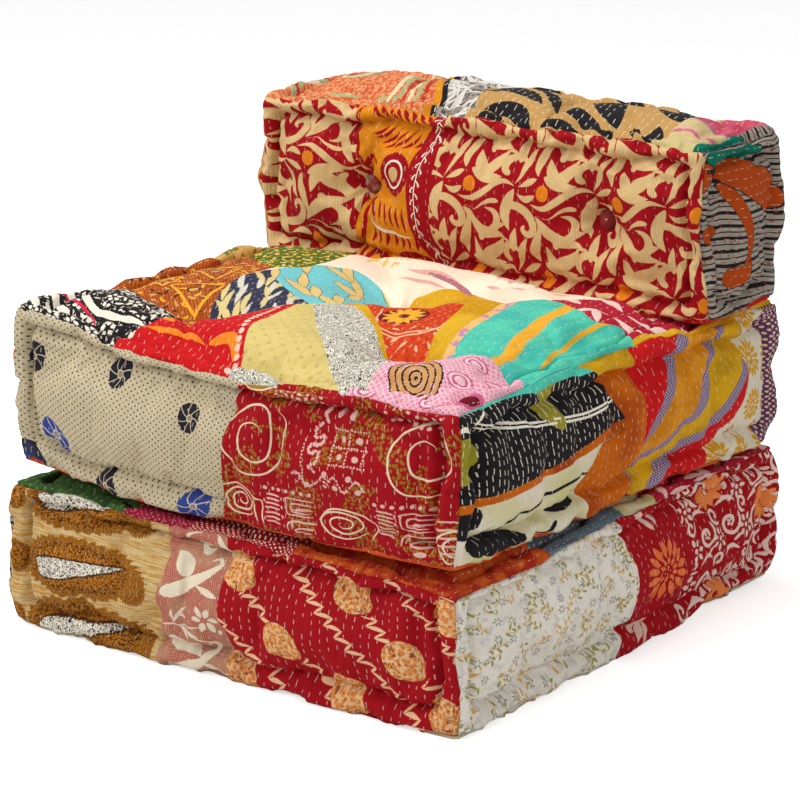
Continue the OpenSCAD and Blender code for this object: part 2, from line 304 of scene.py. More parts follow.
# How the cushions settle on each other: shared shifts of the cloth, in millimetres. Each pair says where a
# shift starts and over what length it comes in, or its middle and its reach.
settling = dict(
    waver=3.2, waves=((83, 61, 0.6), (76, 52, 2.1)), offFloor=(0, 60), rimReach=75,
    baseDroop=(5, 9), droopFrom=90, heel=7, heelReach=150, heelUpTo=(0, 90),
    belly=9, bellyWide=(-60, 260), bellyUpTo=(20, 130), bellyFront=(240, 110),
    seatLift=(4, 8), liftUpTo=(0, 0.55), ear=(20, 6), earAt=(-340, -355), earReach=130,
    sag=6, sagWide=(20, 170), sagFront=(250, 90), sagFrom=(0.25, 0.7),
    leftPuff=10, puffWide=(-10, 190), puffLeft=(235, 90), puffFrom=(0.3, 0.7),
    rearRight=7, rearRightX=(180, 150), rearRightY=(60, 200), sink=6, sinkRear=(95, 60), sinkReach=110,
    rearRise=11, riseWide=(-140, 300), riseFrom=60, leftDroop=11, droopLeft=(150, 230),
    leftOut=9, outLeft=(60, 300), foot=10, footRight=(200, 130), footUpTo=(0, 150),
)


def settleBase(moved, x, y, z, how, rim, frontRight, top):
    half = cushions["base"]["size"] / 2
    low, more = how["baseDroop"]
    moved[..., 2] -= (low + more * frontRight) * rim * ramp(z, how["droopFrom"], top - how["droopFrom"])
    heel = np.exp(-((x - half[0]) ** 2 + (y - half[1]) ** 2) / how["heelReach"] ** 2)
    moved[..., 2] += how["heel"] * heel * (1 - ramp(z, *how["heelUpTo"]))
    belly = hump(x, *how["bellyWide"]) * (1 - ramp(z, *how["bellyUpTo"])) * ramp(-y, *how["bellyFront"])
    moved[..., 1] -= how["belly"] * belly


def settleSeat(moved, x, y, up, how, rim, frontRight):
    low, more = how["seatLift"]
    moved[..., 2] += (low + more * frontRight) * rim * (1 - ramp(up, *how["liftUpTo"]))
    earX, earY = how["earAt"]
    ear = np.exp(-((x - earX) ** 2 + (y - earY) ** 2) / how["earReach"] ** 2)
    sag = hump(x, *how["sagWide"]) * ramp(-y, *how["sagFront"])
    moved[..., 2] += (how["ear"][0] + how["ear"][1] * up) * ear - how["sag"] * sag * ramp(up, *how["sagFrom"])
    leftEdge = hump(y, *how["puffWide"], 4) * ramp(-x, *how["puffLeft"]) * ramp(up, *how["puffFrom"])
    moved[..., 2] += how["leftPuff"] * leftEdge


def settleBack(moved, x, y, aboveSeat, how):
    back = cushions["back"]
    toRear = np.clip((y - back["centre"][1]) / back["size"][1] + 0.5, 0, 1)
    upper = ramp(aboveSeat, how["riseFrom"], back["size"][2] - how["riseFrom"])
    moved[..., 2] += how["rearRise"] * toRear * upper * hump(x, *how["riseWide"])
    moved[..., 2] -= how["leftDroop"] * upper * ramp(-x, *how["droopLeft"])
    moved[..., 0] -= how["leftOut"] * ramp(-x, *how["outLeft"])
    foot = (1 - toRear) * ramp(x, *how["footRight"]) * (1 - ramp(aboveSeat, *how["footUpTo"]))
    moved[..., 0] += how["foot"] * foot


def settle(cushion, place):
    x, y, z = place[..., 0], place[..., 1], place[..., 2]
    moved, how, name = place.copy(), settling, cushion["name"]
    half, seat = cushions["base"]["size"] / 2, cushions["seat"]
    seatTall = seat["size"][2]
    seatLow = seat["centre"][2] - seatTall / 2
    backLow = seatLow + seatTall
    rim = 1 - smooth(np.minimum(half[0] - np.abs(x), half[1] - np.abs(y)) / how["rimReach"])
    frontRight = np.clip((x / half[0] - y / half[1]) / 2, 0, 1) ** 2
    for axis, (across, (length, lengthUp, turn)) in enumerate(zip((y, x), how["waves"])):
        wave = np.sin(across / length + z / lengthUp + turn)
        moved[..., axis] += how["waver"] * wave * ramp(z, *how["offFloor"])
    if name == "base":
        settleBase(moved, x, y, z, how, rim, frontRight, seatLow)
    if name == "seat":
        settleSeat(moved, x, y, (z - seatLow) / seatTall, how, rim, frontRight)
    if name != "base":
        moved[..., 0] += how["rearRight"] * ramp(x, *how["rearRightX"]) * ramp(y, *how["rearRightY"])
    moved[..., 2] -= how["sink"] * (ramp(y, *how["sinkRear"]) * hump(z, backLow, how["sinkReach"], 4))
    if name == "back":
        settleBack(moved, x, y, z - backLow, how)
    return moved


def axisLines(cushion, length, step):
    groove = cushion["groove"]
    rim = np.linspace(0, groove, max(2, round(groove / step)) + 1)
    middle = np.linspace(groove, length - groove, max(1, round((length - 2 * groove) / step)) + 1)
    return np.concatenate([rim, middle[1:-1], length - rim[::-1]])


def faceLines(cushion, face, step):
    return [axisLines(cushion, length, step) for length in faceSize(cushion, face)]


# Stitches that hold the grooves, every second one drawn deeper, and the cloth that puffs up between them
grooveStitches = dict(apart=23, uneven=4, deeper=4.5, plain=0.5, seed=11, reach=0.52, narrowReach=0.55)
padding = dict(frames=14, quality=4, pressure=3.2, grow=-0.045, cap=9.0, stiffness=12, bending=0.35)


def stitchPull(cushion, face, u, v):
    how, simStep, groove = grooveStitches, sewing["simStep"], cushion["groove"]
    seedOf = dict(front=1, rear=2, right=3, left=4, top=5, bottom=6)[face]
    rng = np.random.default_rng(how["seed"] + seedOf * 7 + len(cushion["name"]) * 31)
    wide, high = faceSize(cushion, face)
    share = creaseShare(cushion, face, u, v)
    pinned, depth = np.zeros(u.shape, bool), np.zeros(u.shape)
    edges = ((wide, u, v, 0), (wide, u, v, high), (high, v, u, 0), (high, v, u, wide))
    for length, along, across, far in edges:
        count = max(2, round((length - 2 * groove) / how["apart"]))
        narrow = narrowing(cushion, face) if far == high else 1
        reach = 1.0 if narrow == 1 else simStep * how["narrowReach"]
        line = np.abs(np.abs(across - far) - groove / narrow) < reach
        for k in range(count + 1):
            shift = rng.uniform(-how["uneven"], how["uneven"]) * (0 < k < count)
            place = groove + (length - 2 * groove) * k / count + shift
            hold = line & (np.abs(along - place) < simStep * how["reach"]) & (share > 0.5)
            pinned |= hold
            draw = how["plain"] if k % 2 else how["deeper"]
            depth = np.where(hold, np.maximum(depth, draw), depth)
    return pinned, depth


# Cotton filling, a little inside the cover and drawn in with it
stuffing = dict(under=17)


def stuff(cushion, inner, quads):
    name = cushion["name"]
    mesh = bpy.data.meshes.new(name + "_wadding")
    mesh.from_pydata((settle(cushion, inner + cushion["centre"])) / 1000, [], quads)
    mesh.polygons.foreach_set("use_smooth", [True] * len(quads))
    wadding = bpy.data.objects.new(mesh.name, mesh)
    bpy.context.scene.collection.objects.link(wadding)
    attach(wadding, name + "_cushion")
    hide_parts(name + "_filling")
    cushion["wadding"] = wadding


def simulateCloth(start, quads, pins):
    mesh = bpy.data.meshes.new("padding")
    mesh.from_pydata(start / 1000, [], quads)
    pad = bpy.data.objects.new("padding", mesh)
    bpy.context.scene.collection.objects.link(pad)
    group = pad.vertex_groups.new(name="stitched")
    group.add(np.flatnonzero(pins).tolist(), 1, "REPLACE")
    cloth = pad.modifiers.new("Cloth", "CLOTH")
    settings = cloth.settings
    settings.quality = padding["quality"]
    settings.tension_stiffness = settings.compression_stiffness = padding["stiffness"]
    settings.bending_stiffness = padding["bending"]
    settings.use_pressure = True
    settings.uniform_pressure_force = padding["pressure"]
    settings.shrink_min = padding["grow"]
    settings.effector_weights.gravity = 0
    settings.vertex_group_mass = "stitched"
    cloth.collision_settings.use_collision = False
    cloth.point_cache.frame_end = padding["frames"]
    for step in range(1, padding["frames"] + 1):
        bpy.context.scene.frame_set(step)
    shown = pad.evaluated_get(bpy.context.evaluated_depsgraph_get())
    puffed = np.zeros(len(start) * 3)
    shown.data.vertices.foreach_get("co", puffed)
    bpy.data.objects.remove(pad)
    bpy.context.scene.frame_set(1)
    return puffed.reshape(-1, 3) * 1000


def puffUp(cushion):
    lines = [axisLines(cushion, cushion["size"][axis], sewing["simStep"]) for axis in range(3)]
    counts = [len(line) for line in lines]
    ids = -np.ones(counts, int)
    surface = np.zeros(counts, bool)
    for axis in range(3):
        index = [slice(None)] * 3
        for end in (0, -1):
            index[axis] = end
            surface[tuple(index)] = True
    ids[surface] = np.arange(surface.sum())
    start = np.zeros((surface.sum(), 3))
    calm, inner = np.zeros_like(start), np.zeros_like(start)
    pins = np.zeros(surface.sum())
    quads, grids = [], {}
    for face, (axis, side, right, rightSign, up, upSign) in faceAxes.items():
        index = [slice(None)] * 3
        index[axis] = 0 if side < 0 else -1
        grid = ids[tuple(index)][::rightSign, ::upSign]
        us, vs = lines[right], lines[up]
        u, v = np.meshgrid(us, vs, indexing="ij")
        pinned, depth = stitchPull(cushion, face, u, v)
        for x, y in tuftsOn(cushion, face):
            pinned |= np.hypot(u - x, v - y) < cushion["buttonRadius"] * 0.8
        calm[grid] = skin(cushion, face, u, v)[0]
        start[grid] = skin(cushion, face, u, v, -depth)[0]
        inner[grid] = skin(cushion, face, u, v, -stuffing["under"])[0]
        pins[grid[pinned]] = 1
        grids[face] = (grid, us, vs)
        corners = [grid[:-1, :-1], grid[1:, :-1], grid[1:, 1:], grid[:-1, 1:]]
        quads.append(np.stack(corners, -1).reshape(-1, 4))
    quads = np.concatenate(quads).tolist()
    stuff(cushion, inner, quads)
    moved = simulateCloth(start, quads, pins) - calm
    far = np.linalg.norm(moved, axis=1, keepdims=True)
    cap = padding["cap"]
    moved *= (cap * np.tanh(far / cap)) / np.maximum(far, 1e-6)
    print(cushion["name"], "padded:", len(start), "points, moved up to", round(float(far.max()), 1), "mm")
    return {face: (moved[grid], us, vs) for face, (grid, us, vs) in grids.items()}


def cubicWeights(places, lines):
    at = np.interp(places, lines, np.arange(len(lines)))
    first = np.clip(np.floor(at).astype(int), 0, len(lines) - 2)
    t = at - first
    weights = np.stack([
        -0.5 * t + t ** 2 - 0.5 * t ** 3, 1 - 2.5 * t ** 2 + 1.5 * t ** 3,
        0.5 * t + 2 * t ** 2 - 1.5 * t ** 3, -0.5 * t ** 2 + 0.5 * t ** 3,
    ], -1)
    index = np.clip(first[:, None] + np.arange(-1, 3), 0, len(lines) - 1)
    return index, weights


def softMove(grid, us, vs, u, v):
    indexU, weightU = cubicWeights(u, us)
    indexV, weightV = cubicWeights(v, vs)
    picked = grid[indexU[:, :, None], indexV[:, None, :]]
    return np.einsum("ni,nj,nijk->nk", weightU, weightV, picked)


for cushion in cushions.values():
    cushion["padding"] = puffUp(cushion)


def ripple(u, v, seed, length, count=7):
    rng = np.random.default_rng(seed)
    total = np.zeros_like(u)
    for _ in range(count):
        angle, phase = rng.uniform(0, math.pi), rng.uniform(0, 2 * math.pi)
        turn = 2 * math.pi / (length * rng.uniform(0.7, 1.5))
        total += np.sin((u * math.cos(angle) + v * math.sin(angle)) * turn + phase)
    return total / count


# Printed figures are strokes: a curve through a few points, its half width, and the ink that fills it
inkSlots = dict(reach=5.0, spacing=1.2, window=6, inks=8, deepest=-0.5, layerGain=0.7, blank=5)


def stroke(points, width, ink=0, shape="leaf", belly=0.5, layer=0, patch=None):
    return dict(points=points, width=width, ink=ink, shape=shape, belly=belly, layer=layer, patch=patch)


def onPatch(patch, figures):
    return [{**spec, "patch": patch} for spec in figures]


def curveThrough(points, spacing):
    points = np.array(points, float)
    if len(points) == 2:
        steps = max(2, int(np.linalg.norm(points[1] - points[0]) / spacing) + 1)
        return points[0] + (points[1] - points[0]) * np.linspace(0, 1, steps)[:, None]
    ends = np.vstack([2 * points[0] - points[1], points, 2 * points[-1] - points[-2]])
    pieces = []
    for k in range(len(points) - 1):
        a, b, c, d = ends[k:k + 4]
        steps = max(2, int(np.linalg.norm(c - b) / spacing) + 1)
        t = np.linspace(0, 1, steps, endpoint=False)[:, None]
        pieces.append(0.5 * (2 * b + (c - a) * t + (2 * a - 5 * b + 4 * c - d) * t ** 2
                             + (3 * b - a - 3 * c + d) * t ** 3))
    return np.vstack(pieces + [points[-1:]])


def traceStroke(spec):
    line = curveThrough(spec["points"], inkSlots["spacing"])
    steps = np.linalg.norm(np.diff(line, axis=0), axis=1)
    arc = np.concatenate([[0], np.cumsum(steps)])
    tangent = np.gradient(line, axis=0)
    tangent /= np.maximum(np.linalg.norm(tangent, axis=1, keepdims=True), 1e-9)
    return line, arc, tangent


def alongStroke(spec, s):
    gamma = math.log(0.5) / math.log(spec["belly"])
    inner = np.clip(s, 1e-4, 1) ** gamma
    p = 2 * inner - 1
    p = np.where(s < 0, -1 + 4 * s, np.where(s > 1, 1 + 4 * (s - 1), p))
    if spec["shape"] == "line":
        p = np.sign(p) * np.abs(p) ** 4
    return p


def loopTables(mesh):
    vertOfLoop = np.zeros(len(mesh.loops), int)
    mesh.loops.foreach_get("vertex_index", vertOfLoop)
    sides = np.zeros(len(mesh.polygons), int)
    mesh.polygons.foreach_get("loop_total", sides)
    return vertOfLoop, np.repeat(np.arange(len(sides)), sides), sides


def nearestStrokes(centres, patchOfFace, patchNames, strokes, traced):
    # The two best strokes for each face, with the nearest point of each; a higher layer wins
    best = np.full((len(centres), 2), 1e9)
    which = np.full((len(centres), 2), -1)
    sample = np.zeros((len(centres), 2), int)
    reach = inkSlots["reach"]
    for number, (spec, (line, arc, _)) in enumerate(zip(strokes, traced)):
        grow = spec["width"] + reach
        low, high = line.min(0) - grow, line.max(0) + grow
        near = ((centres > low) & (centres < high)).all(1)
        if spec["patch"] is not None:
            near &= patchOfFace == patchNames.index(spec["patch"])
        faces = np.flatnonzero(near)
        if not len(faces):
            continue
        apart = np.linalg.norm(centres[faces][:, None] - line[None], axis=2)
        taper = np.maximum(1 - alongStroke(spec, arc / arc[-1]) ** 2, 0)
        widths = spec["width"] * (np.sqrt(taper) if spec["shape"] == "round" else taper)
        edge = apart - widths[None]
        k = edge.argmin(1)
        edge = edge[np.arange(len(faces)), k]
        kept = edge < reach
        faces, k, edge = faces[kept], k[kept], edge[kept]
        score = np.maximum(edge, inkSlots["deepest"]) - inkSlots["layerGain"] * spec["layer"]
        first = score < best[faces, 0]
        second = ~first & (score < best[faces, 1])
        f = faces[first]
        best[f, 1], which[f, 1], sample[f, 1] = best[f, 0], which[f, 0], sample[f, 0]
        best[f, 0], which[f, 0], sample[f, 0] = score[first], number, k[first]
        f = faces[second]
        best[f, 1], which[f, 1], sample[f, 1] = score[second], number, k[second]
    layers = np.array([spec["layer"] for spec in strokes] + [-1])
    swap = layers[which[:, 1]] > layers[which[:, 0]]
    which[swap], sample[swap] = which[swap][:, ::-1], sample[swap][:, ::-1]
    return which, sample


def layInk(mesh, flat, patchOfFace, patchNames, strokes):
    vertOfLoop, faceOfLoop, sides = loopTables(mesh)
    corners = flat[vertOfLoop]
    starts = np.concatenate([[0], np.cumsum(sides)[:-1]])
    centres = np.add.reduceat(corners, starts, axis=0) / sides[:, None]
    traced = [traceStroke(spec) for spec in strokes]
    which, sample = nearestStrokes(centres, patchOfFace, patchNames, strokes, traced)
    reach = np.arange(-inkSlots["window"], inkSlots["window"] + 1)
    for slot, name in enumerate(("inkTop", "inkUnder")):
        values = np.zeros((len(corners), 4), np.float32)
        values[:, 0] = inkSlots["blank"]
        order = which[faceOfLoop, slot]
        for number in np.unique(order[order >= 0]):
            spec, (line, arc, tangent) = strokes[number], traced[number]
            loops = np.flatnonzero(order == number)
            window = np.clip(sample[faceOfLoop[loops], slot][:, None] + reach, 0, len(line) - 1)
            off = corners[loops][:, None] - line[window]
            pick = (off ** 2).sum(2).argmin(1)
            rows = np.arange(len(loops))
            at, off = window[rows, pick], off[rows, pick]
            along = (off * tangent[at]).sum(1)
            across = off[:, 1] * tangent[at, 0] - off[:, 0] * tangent[at, 1]
            values[loops, 0] = alongStroke(spec, (arc[at] + along) / arc[-1])
            values[loops, 1] = across / spec["width"]
            values[loops, 2] = 1 if spec["shape"] == "round" else 0
            values[loops, 3] = (spec["ink"] + 0.5) / inkSlots["inks"]
        layer = mesh.color_attributes.new(name, "FLOAT_COLOR", "CORNER")
        layer.data.foreach_set("color", values.ravel())


def seamFrame(points):
    line = curveThrough(points, 4.0)
    way = line[-1] - line[0]
    way /= np.linalg.norm(way)
    side = np.array([-way[1], way[0]])
    return line[0], way, side, (line - line[0]) @ way, (line - line[0]) @ side


def cutPatch(bm, near, old, points, new):
    origin, way, side, ts, offsets = seamFrame(points)
    faces = [f for f in bm.faces if f.material_index == old]
    verts = list(dict.fromkeys(v for f in faces for v in f.verts))   # in the mesh's order, the same each run
    edges = list(dict.fromkeys(e for f in faces for e in f.edges))
    flat = np.array([v.co[:2] for v in verts]) - origin
    t, s = flat @ way, flat @ side
    s = s - np.interp(t, ts, offsets)
    s[np.abs(s) < 0.35] = 0
    for v, a, b in zip(verts, t, s):
        v.co = (a, b, 0)
    bmesh.ops.bisect_plane(bm, geom=faces + edges + verts, dist=1e-3, plane_co=(0, 0, 0), plane_no=(0, 1, 0))
    faces = [f for f in bm.faces if f.material_index == old]
    verts = list(dict.fromkeys(v for f in faces for v in f.verts))
    for f in faces:
        if f.calc_center_median().y > 0:
            f.material_index = new
    flat = np.array([v.co[:2] for v in verts])
    back = flat[:, 1] + np.interp(flat[:, 0], ts, offsets)
    places = origin + flat[:, :1] * way + back[:, None] * side
    for v, d, place in zip(verts, np.abs(flat[:, 1]), places):
        v.co = (place[0], place[1], 0)
        v[near] = min(v[near], d)


patchSeam = dict(deep=1.3, reach=4.0)
pleats = dict(size=1.1, length=19, reach=13, bend=2.5, bendLength=90, bends=4, slack=0.7, slackLength=34)
tuftFolds = dict(size=3.6, count=9, uneven=1.3, fineCount=14, fineShare=0.5, begins=(13, 10), reach=44)


def cutCloth(cushion, face, layout, name):
    # The panel laid flat, cut along the seams of its patches, with a hem to tuck in
    us, vs = faceLines(cushion, face, sewing["gridStep"][cushion["name"]])
    count = len(vs)
    corners = [(u, v, 0) for u in us for v in vs]
    quads = [(i * count + j, (i + 1) * count + j, (i + 1) * count + j + 1, i * count + j + 1)
             for i in range(len(us) - 1) for j in range(count - 1)]
    flatMesh = bpy.data.meshes.new("flat")
    flatMesh.from_pydata(corners, [], quads)
    bm = bmesh.new()
    bm.from_mesh(flatMesh)
    bpy.data.meshes.remove(flatMesh)
    near = bm.verts.layers.float.new("near")
    for v in bm.verts:
        v[near] = 99
    patches = [layout["start"]]
    for old, points, new in layout.get("seams", []):
        if new not in patches:
            patches.append(new)
        cutPatch(bm, near, patches.index(old), points, patches.index(new))
    tuck = bm.verts.layers.float.new("tuck")
    hem = bmesh.ops.extrude_edge_only(bm, edges=[e for e in bm.edges if e.is_boundary])
    for v in hem["geom"]:
        if isinstance(v, bmesh.types.BMVert):
            v[tuck] = 1
    for f in bm.faces:
        f.smooth = True
    tucked, seamNear = (np.array([v[layer] for v in bm.verts]) for layer in (tuck, near))
    flat = np.array([v.co[:2] for v in bm.verts])
    mesh = bpy.data.meshes.new(name)
    bm.to_mesh(mesh)
    bm.free()
    return mesh, patches, flat, tucked, seamNear


def drape(cushion, face, flat, tucked, seamNear, seed):
    # Where the flat cloth lies on the cushion, with its seams, pleats and the folds round its tufts
    u, v = flat[:, 0], flat[:, 1]
    wide, high = faceSize(cushion, face)
    d = edgeDistance(cushion, face, u, v)
    rim = np.minimum(np.minimum(u, wide - u), np.minimum(v, high - v))
    inward = smooth(rim / 12)
    extra = sewing["seamRidge"] * hump(rim, 0, sewing["ridgeReach"]) - sewing["tuck"] * tucked
    extra -= patchSeam["deep"] * hump(seamNear, 0, patchSeam["reach"]) * inward
    along = np.where(np.minimum(u, wide - u) < np.minimum(v, high - v), v, u)
    bend = pleats["bend"] * ripple(u, v, seed, pleats["bendLength"], pleats["bends"])
    fold = np.sin(along / pleats["length"] * 2 * math.pi + bend)
    extra += pleats["size"] * fold * hump(d, cushion["groove"], pleats["reach"]) * inward
    extra += pleats["slack"] * ripple(u, v, seed + 1, pleats["slackLength"]) * inward
    how = tuftFolds
    for x, y in tuftsOn(cushion, face):
        r, turn = np.hypot(u - x, v - y), np.arctan2(v - y, u - x)
        folds = np.sin(turn * how["count"] + how["uneven"] * np.sin(2 * turn + seed))
        folds = folds + how["fineShare"] * np.sin(turn * how["fineCount"] + seed)
        extra += how["size"] * folds * ramp(r, *how["begins"]) * hump(r, 0, how["reach"]) * inward
    place, _ = skin(cushion, face, u, v, extra)
    place = keepFlat(cushion, place + softMove(*cushion["padding"][face], u, v))
    return settle(cushion, place + cushion["centre"]) / 1000


def sewPanel(name, layout):
    cushionName, face = name.split("_")[:2]
    cushion = cushions[cushionName]
    coverName = name.replace("_panel", "_cover")
    mesh, patches, flat, tucked, seamNear = cutCloth(cushion, face, layout, coverName)
    places = drape(cushion, face, flat, tucked, seamNear, sum(map(ord, name)))
    mesh.vertices.foreach_set("co", places.ravel())
    vertOfLoop, faceOfLoop, _ = loopTables(mesh)
    wide, high = faceSize(cushion, face)
    for layerName, scale in (("cloth", (0.001, 0.001)), ("OFBake", (1 / wide, 1 / high))):
        layer = mesh.uv_layers.new(name=layerName)
        layer.data.foreach_set("uv", (flat[vertOfLoop] * scale).ravel())
    patchOfFace = np.zeros(len(mesh.polygons), int)
    mesh.polygons.foreach_get("material_index", patchOfFace)
    strokes = []
    for number, patch in enumerate(patches):
        printed = patch.split(".")[0]
        mesh.materials.append(fabricMaterial(printed))
        draw = fabrics[printed].get("draw")
        if draw and (patchOfFace == number).any():
            region = flat[vertOfLoop[patchOfFace[faceOfLoop] == number]]
            strokes += onPatch(patch, draw(region.min(0), region.max(0)))
    strokes += layout.get("marks", [])
    layInk(mesh, flat, patchOfFace, patches, strokes)
    mesh.update()
    panel = bpy.data.objects.new(mesh.name, mesh)
    bpy.context.scene.collection.objects.link(panel)
    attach(panel, cushionName + "_cushion")
    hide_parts(name)
    "underside_cloth" if face == "bottom" else "patchwork"
    print("sewn", mesh.name, len(mesh.polygons), "faces,", len(strokes), "strokes")


def keepFlat(cushion, place):
    # What lies on the floor or under another cushion stays in its plane
    half = cushion["size"][2] / 2
    place[:, 2] = np.maximum(place[:, 2], -half)
    if cushion["name"] == "base":
        place[:, 2] = np.minimum(place[:, 2], half)
    if cushion["name"] == "seat":
        place[:, 2] = np.minimum(place[:, 2], half + seatPress["give"] * (1 - pressedFlat(place[:, 1])))
    return place


# Shader maths: a Wire holds a socket, and expressions on wires add Math nodes
class Wire:
    def __init__(self, maker, socket):
        self.maker, self.socket = maker, socket

    def out(self, name):
        return Wire(self.maker, self.socket.node.outputs[name])

    def maths(self, operation, *values):
        return self.maker.node("Math", dict(operation=operation), dict(enumerate(values)))

    def __add__(self, other):
        return self.maths("ADD", self, other)

    def __sub__(self, other):
        return self.maths("SUBTRACT", self, other)

    def __rsub__(self, other):
        return self.maths("SUBTRACT", other, self)

    def __mul__(self, other):
        return self.maths("MULTIPLY", self, other)

    def __truediv__(self, other):
        return self.maths("DIVIDE", self, other)

    def __rtruediv__(self, other):
        return self.maths("DIVIDE", other, self)

    def __gt__(self, other):
        return self.maths("GREATER_THAN", self, other)

    def __lt__(self, other):
        return self.maths("LESS_THAN", self, other)

    def __abs__(self):
        return self.maths("ABSOLUTE", self)

    __radd__ = __add__
    __rmul__ = __mul__

    def floor(self):
        return self.maths("FLOOR", self)

    def fraction(self):
        return self.maths("FRACT", self)

    def sine(self):
        return self.maths("SINE", self)

    def root(self):
        return self.maths("SQRT", self)

    def most(self, other):
        return self.maths("MAXIMUM", self, other)

    def between(self, low, high):
        return self.maker.node("MapRange", {}, {"Value": self, "From Min": low, "From Max": high})


def dye(red, green, blue):
    def straight(value):
        value /= 255
        return value / 12.92 if value <= 0.04045 else ((value + 0.055) / 1.055) ** 2.4
    return (straight(red), straight(green), straight(blue), 1)


class Maker:
    def __init__(self, name):
        self.material = bpy.data.materials.new(name)
        self.material.use_nodes = True
        self.tree = self.material.node_tree
        self.shader = self.tree.nodes["Principled BSDF"]

    def node(self, kind, settings=None, inputs=None, out=0):
        made = self.tree.nodes.new("ShaderNode" + kind)
        for key, value in (settings or {}).items():
            if key == "stops":
                ramp = made.color_ramp
                while len(ramp.elements) < len(value):
                    ramp.elements.new(1)
                for element, (place, colour) in zip(ramp.elements, value):
                    element.position, element.color = place, colour
            elif key == "steps":
                made.color_ramp.interpolation = value
            else:
                setattr(made, key, value)
        for key, value in (inputs or {}).items():
            if isinstance(value, Wire):
                self.tree.links.new(value.socket, made.inputs[key])
            else:
                made.inputs[key].default_value = value
        return Wire(self, made.outputs[out])

    def arcTangent(self, up, across):
        return self.node("Math", dict(operation="ARCTAN2"), {0: up, 1: across})

    def dress(self, colour, bump, roughness):
        self.tree.links.new(colour.socket, self.shader.inputs["Base Color"])
        self.tree.links.new(bump.socket, self.shader.inputs["Normal"])
        self.shader.inputs["Roughness"].default_value = roughness
        return self.material

    def mix(self, share, first, second, blend="MIX"):
        settings = dict(data_type="RGBA", blend_type=blend, clamp_factor=True)
        return self.node("Mix", settings, {0: share, 6: first, 7: second}, out=2)

    def cloth(self):
        uv = self.node("UVMap", dict(uv_map="cloth"))
        parts = self.node("SeparateXYZ", {}, {0: uv})
        return parts.out("X") * 1000, parts.out("Y") * 1000

    def point(self, x, y, z=0.0):
        return self.node("CombineXYZ", {}, {0: x, 1: y, 2: z})

    def noise(self, place, scale, detail=2.0, rough=0.5, twist=0.0):
        settings = dict(noise_dimensions="2D")
        inputs = {"Vector": place, "Scale": scale, "Detail": detail, "Roughness": rough, "Distortion": twist}
        return self.node("TexNoise", settings, inputs)

    def chance(self, x, y):
        return self.node("TexWhiteNoise", dict(noise_dimensions="2D"), {"Vector": self.point(x, y)})

    def cells(self, place, scale, feature="F1", out="Distance", scatter=1.0):
        settings = dict(voronoi_dimensions="2D", feature=feature)
        inputs = {"Vector": place, "Scale": scale, "Randomness": scatter}
        return self.node("TexVoronoi", settings, inputs, out)


# Running stitches of thick thread, in millimetres: rows apart, from stitch to stitch, thread length and width
quilting = dict(
    rows=12.0, period=12.5, length=4.8, width=1.0, wander=1.3, colour=dye(228, 216, 192), shown=0.62,
    pucker=0.5, lift=0.3, drift=0.018, rowSeed=3.7, shift=4, lean=1.6, slant=0.06, missing=0.06,
    shortest=0.3, longer=0.45,
)


def runningStitches(maker, u, v, how):
    x = u + (maker.noise(maker.point(u, v), how["drift"]) - 0.5) * (how["wander"] * 4)
    column = x / how["rows"]
    row = column.floor()
    side = (column.fraction() - 0.5) * how["rows"]
    t = v / how["period"] + maker.chance(row, how["rowSeed"])
    luck = maker.chance(row, t.floor())
    split = maker.node("SeparateColor", {}, {0: luck.out("Color")})
    middle = (t.fraction() - 0.5) * how["period"] + (split.out(1) - 0.5) * how["shift"]
    inLength = abs(middle) < (luck * how["longer"] + how["shortest"]) * how["length"]
    lean = side + (split.out(2) - 0.5) * how["lean"] + middle * how["slant"]
    inWidth = abs(lean) < how["width"] / 2
    thread = inLength * inWidth * (luck > how["missing"])
    dip = maker.node("MapRange", dict(interpolation_type="SMOOTHSTEP"),
                     {"Value": abs(side), "From Min": 0, "From Max": how["rows"] * 0.5})
    return thread, dip


# Woven cotton seen close: threads both ways, their tone painted darker where they lie low (painted shade over
# the yarn's slubs), and soft creases
weaving = dict(threads=0.9, slub=0.05, fade=0.10, creases=0.5)


def inkMask(maker, name, spec):
    layer = maker.node("Attribute", dict(attribute_type="GEOMETRY", attribute_name=name), out="Vector")
    parts = maker.node("SeparateXYZ", {}, {0: layer})
    p, q, turnRound = parts.out("X"), abs(parts.out("Y")), parts.out("Z")
    reach = q + (q * q - q) * turnRound
    inside = 1 - p * p - reach
    if spec.get("spikes"):
        count, depth = spec["spikes"]
        angle = maker.arcTangent(parts.out("Y"), p)
        teeth = abs((angle * (count / (2 * math.pi))).fraction() - 0.5) * (2 * depth)
        inside = inside - teeth * turnRound
    return inside, layer.out("Alpha"), p, parts.out("Y")


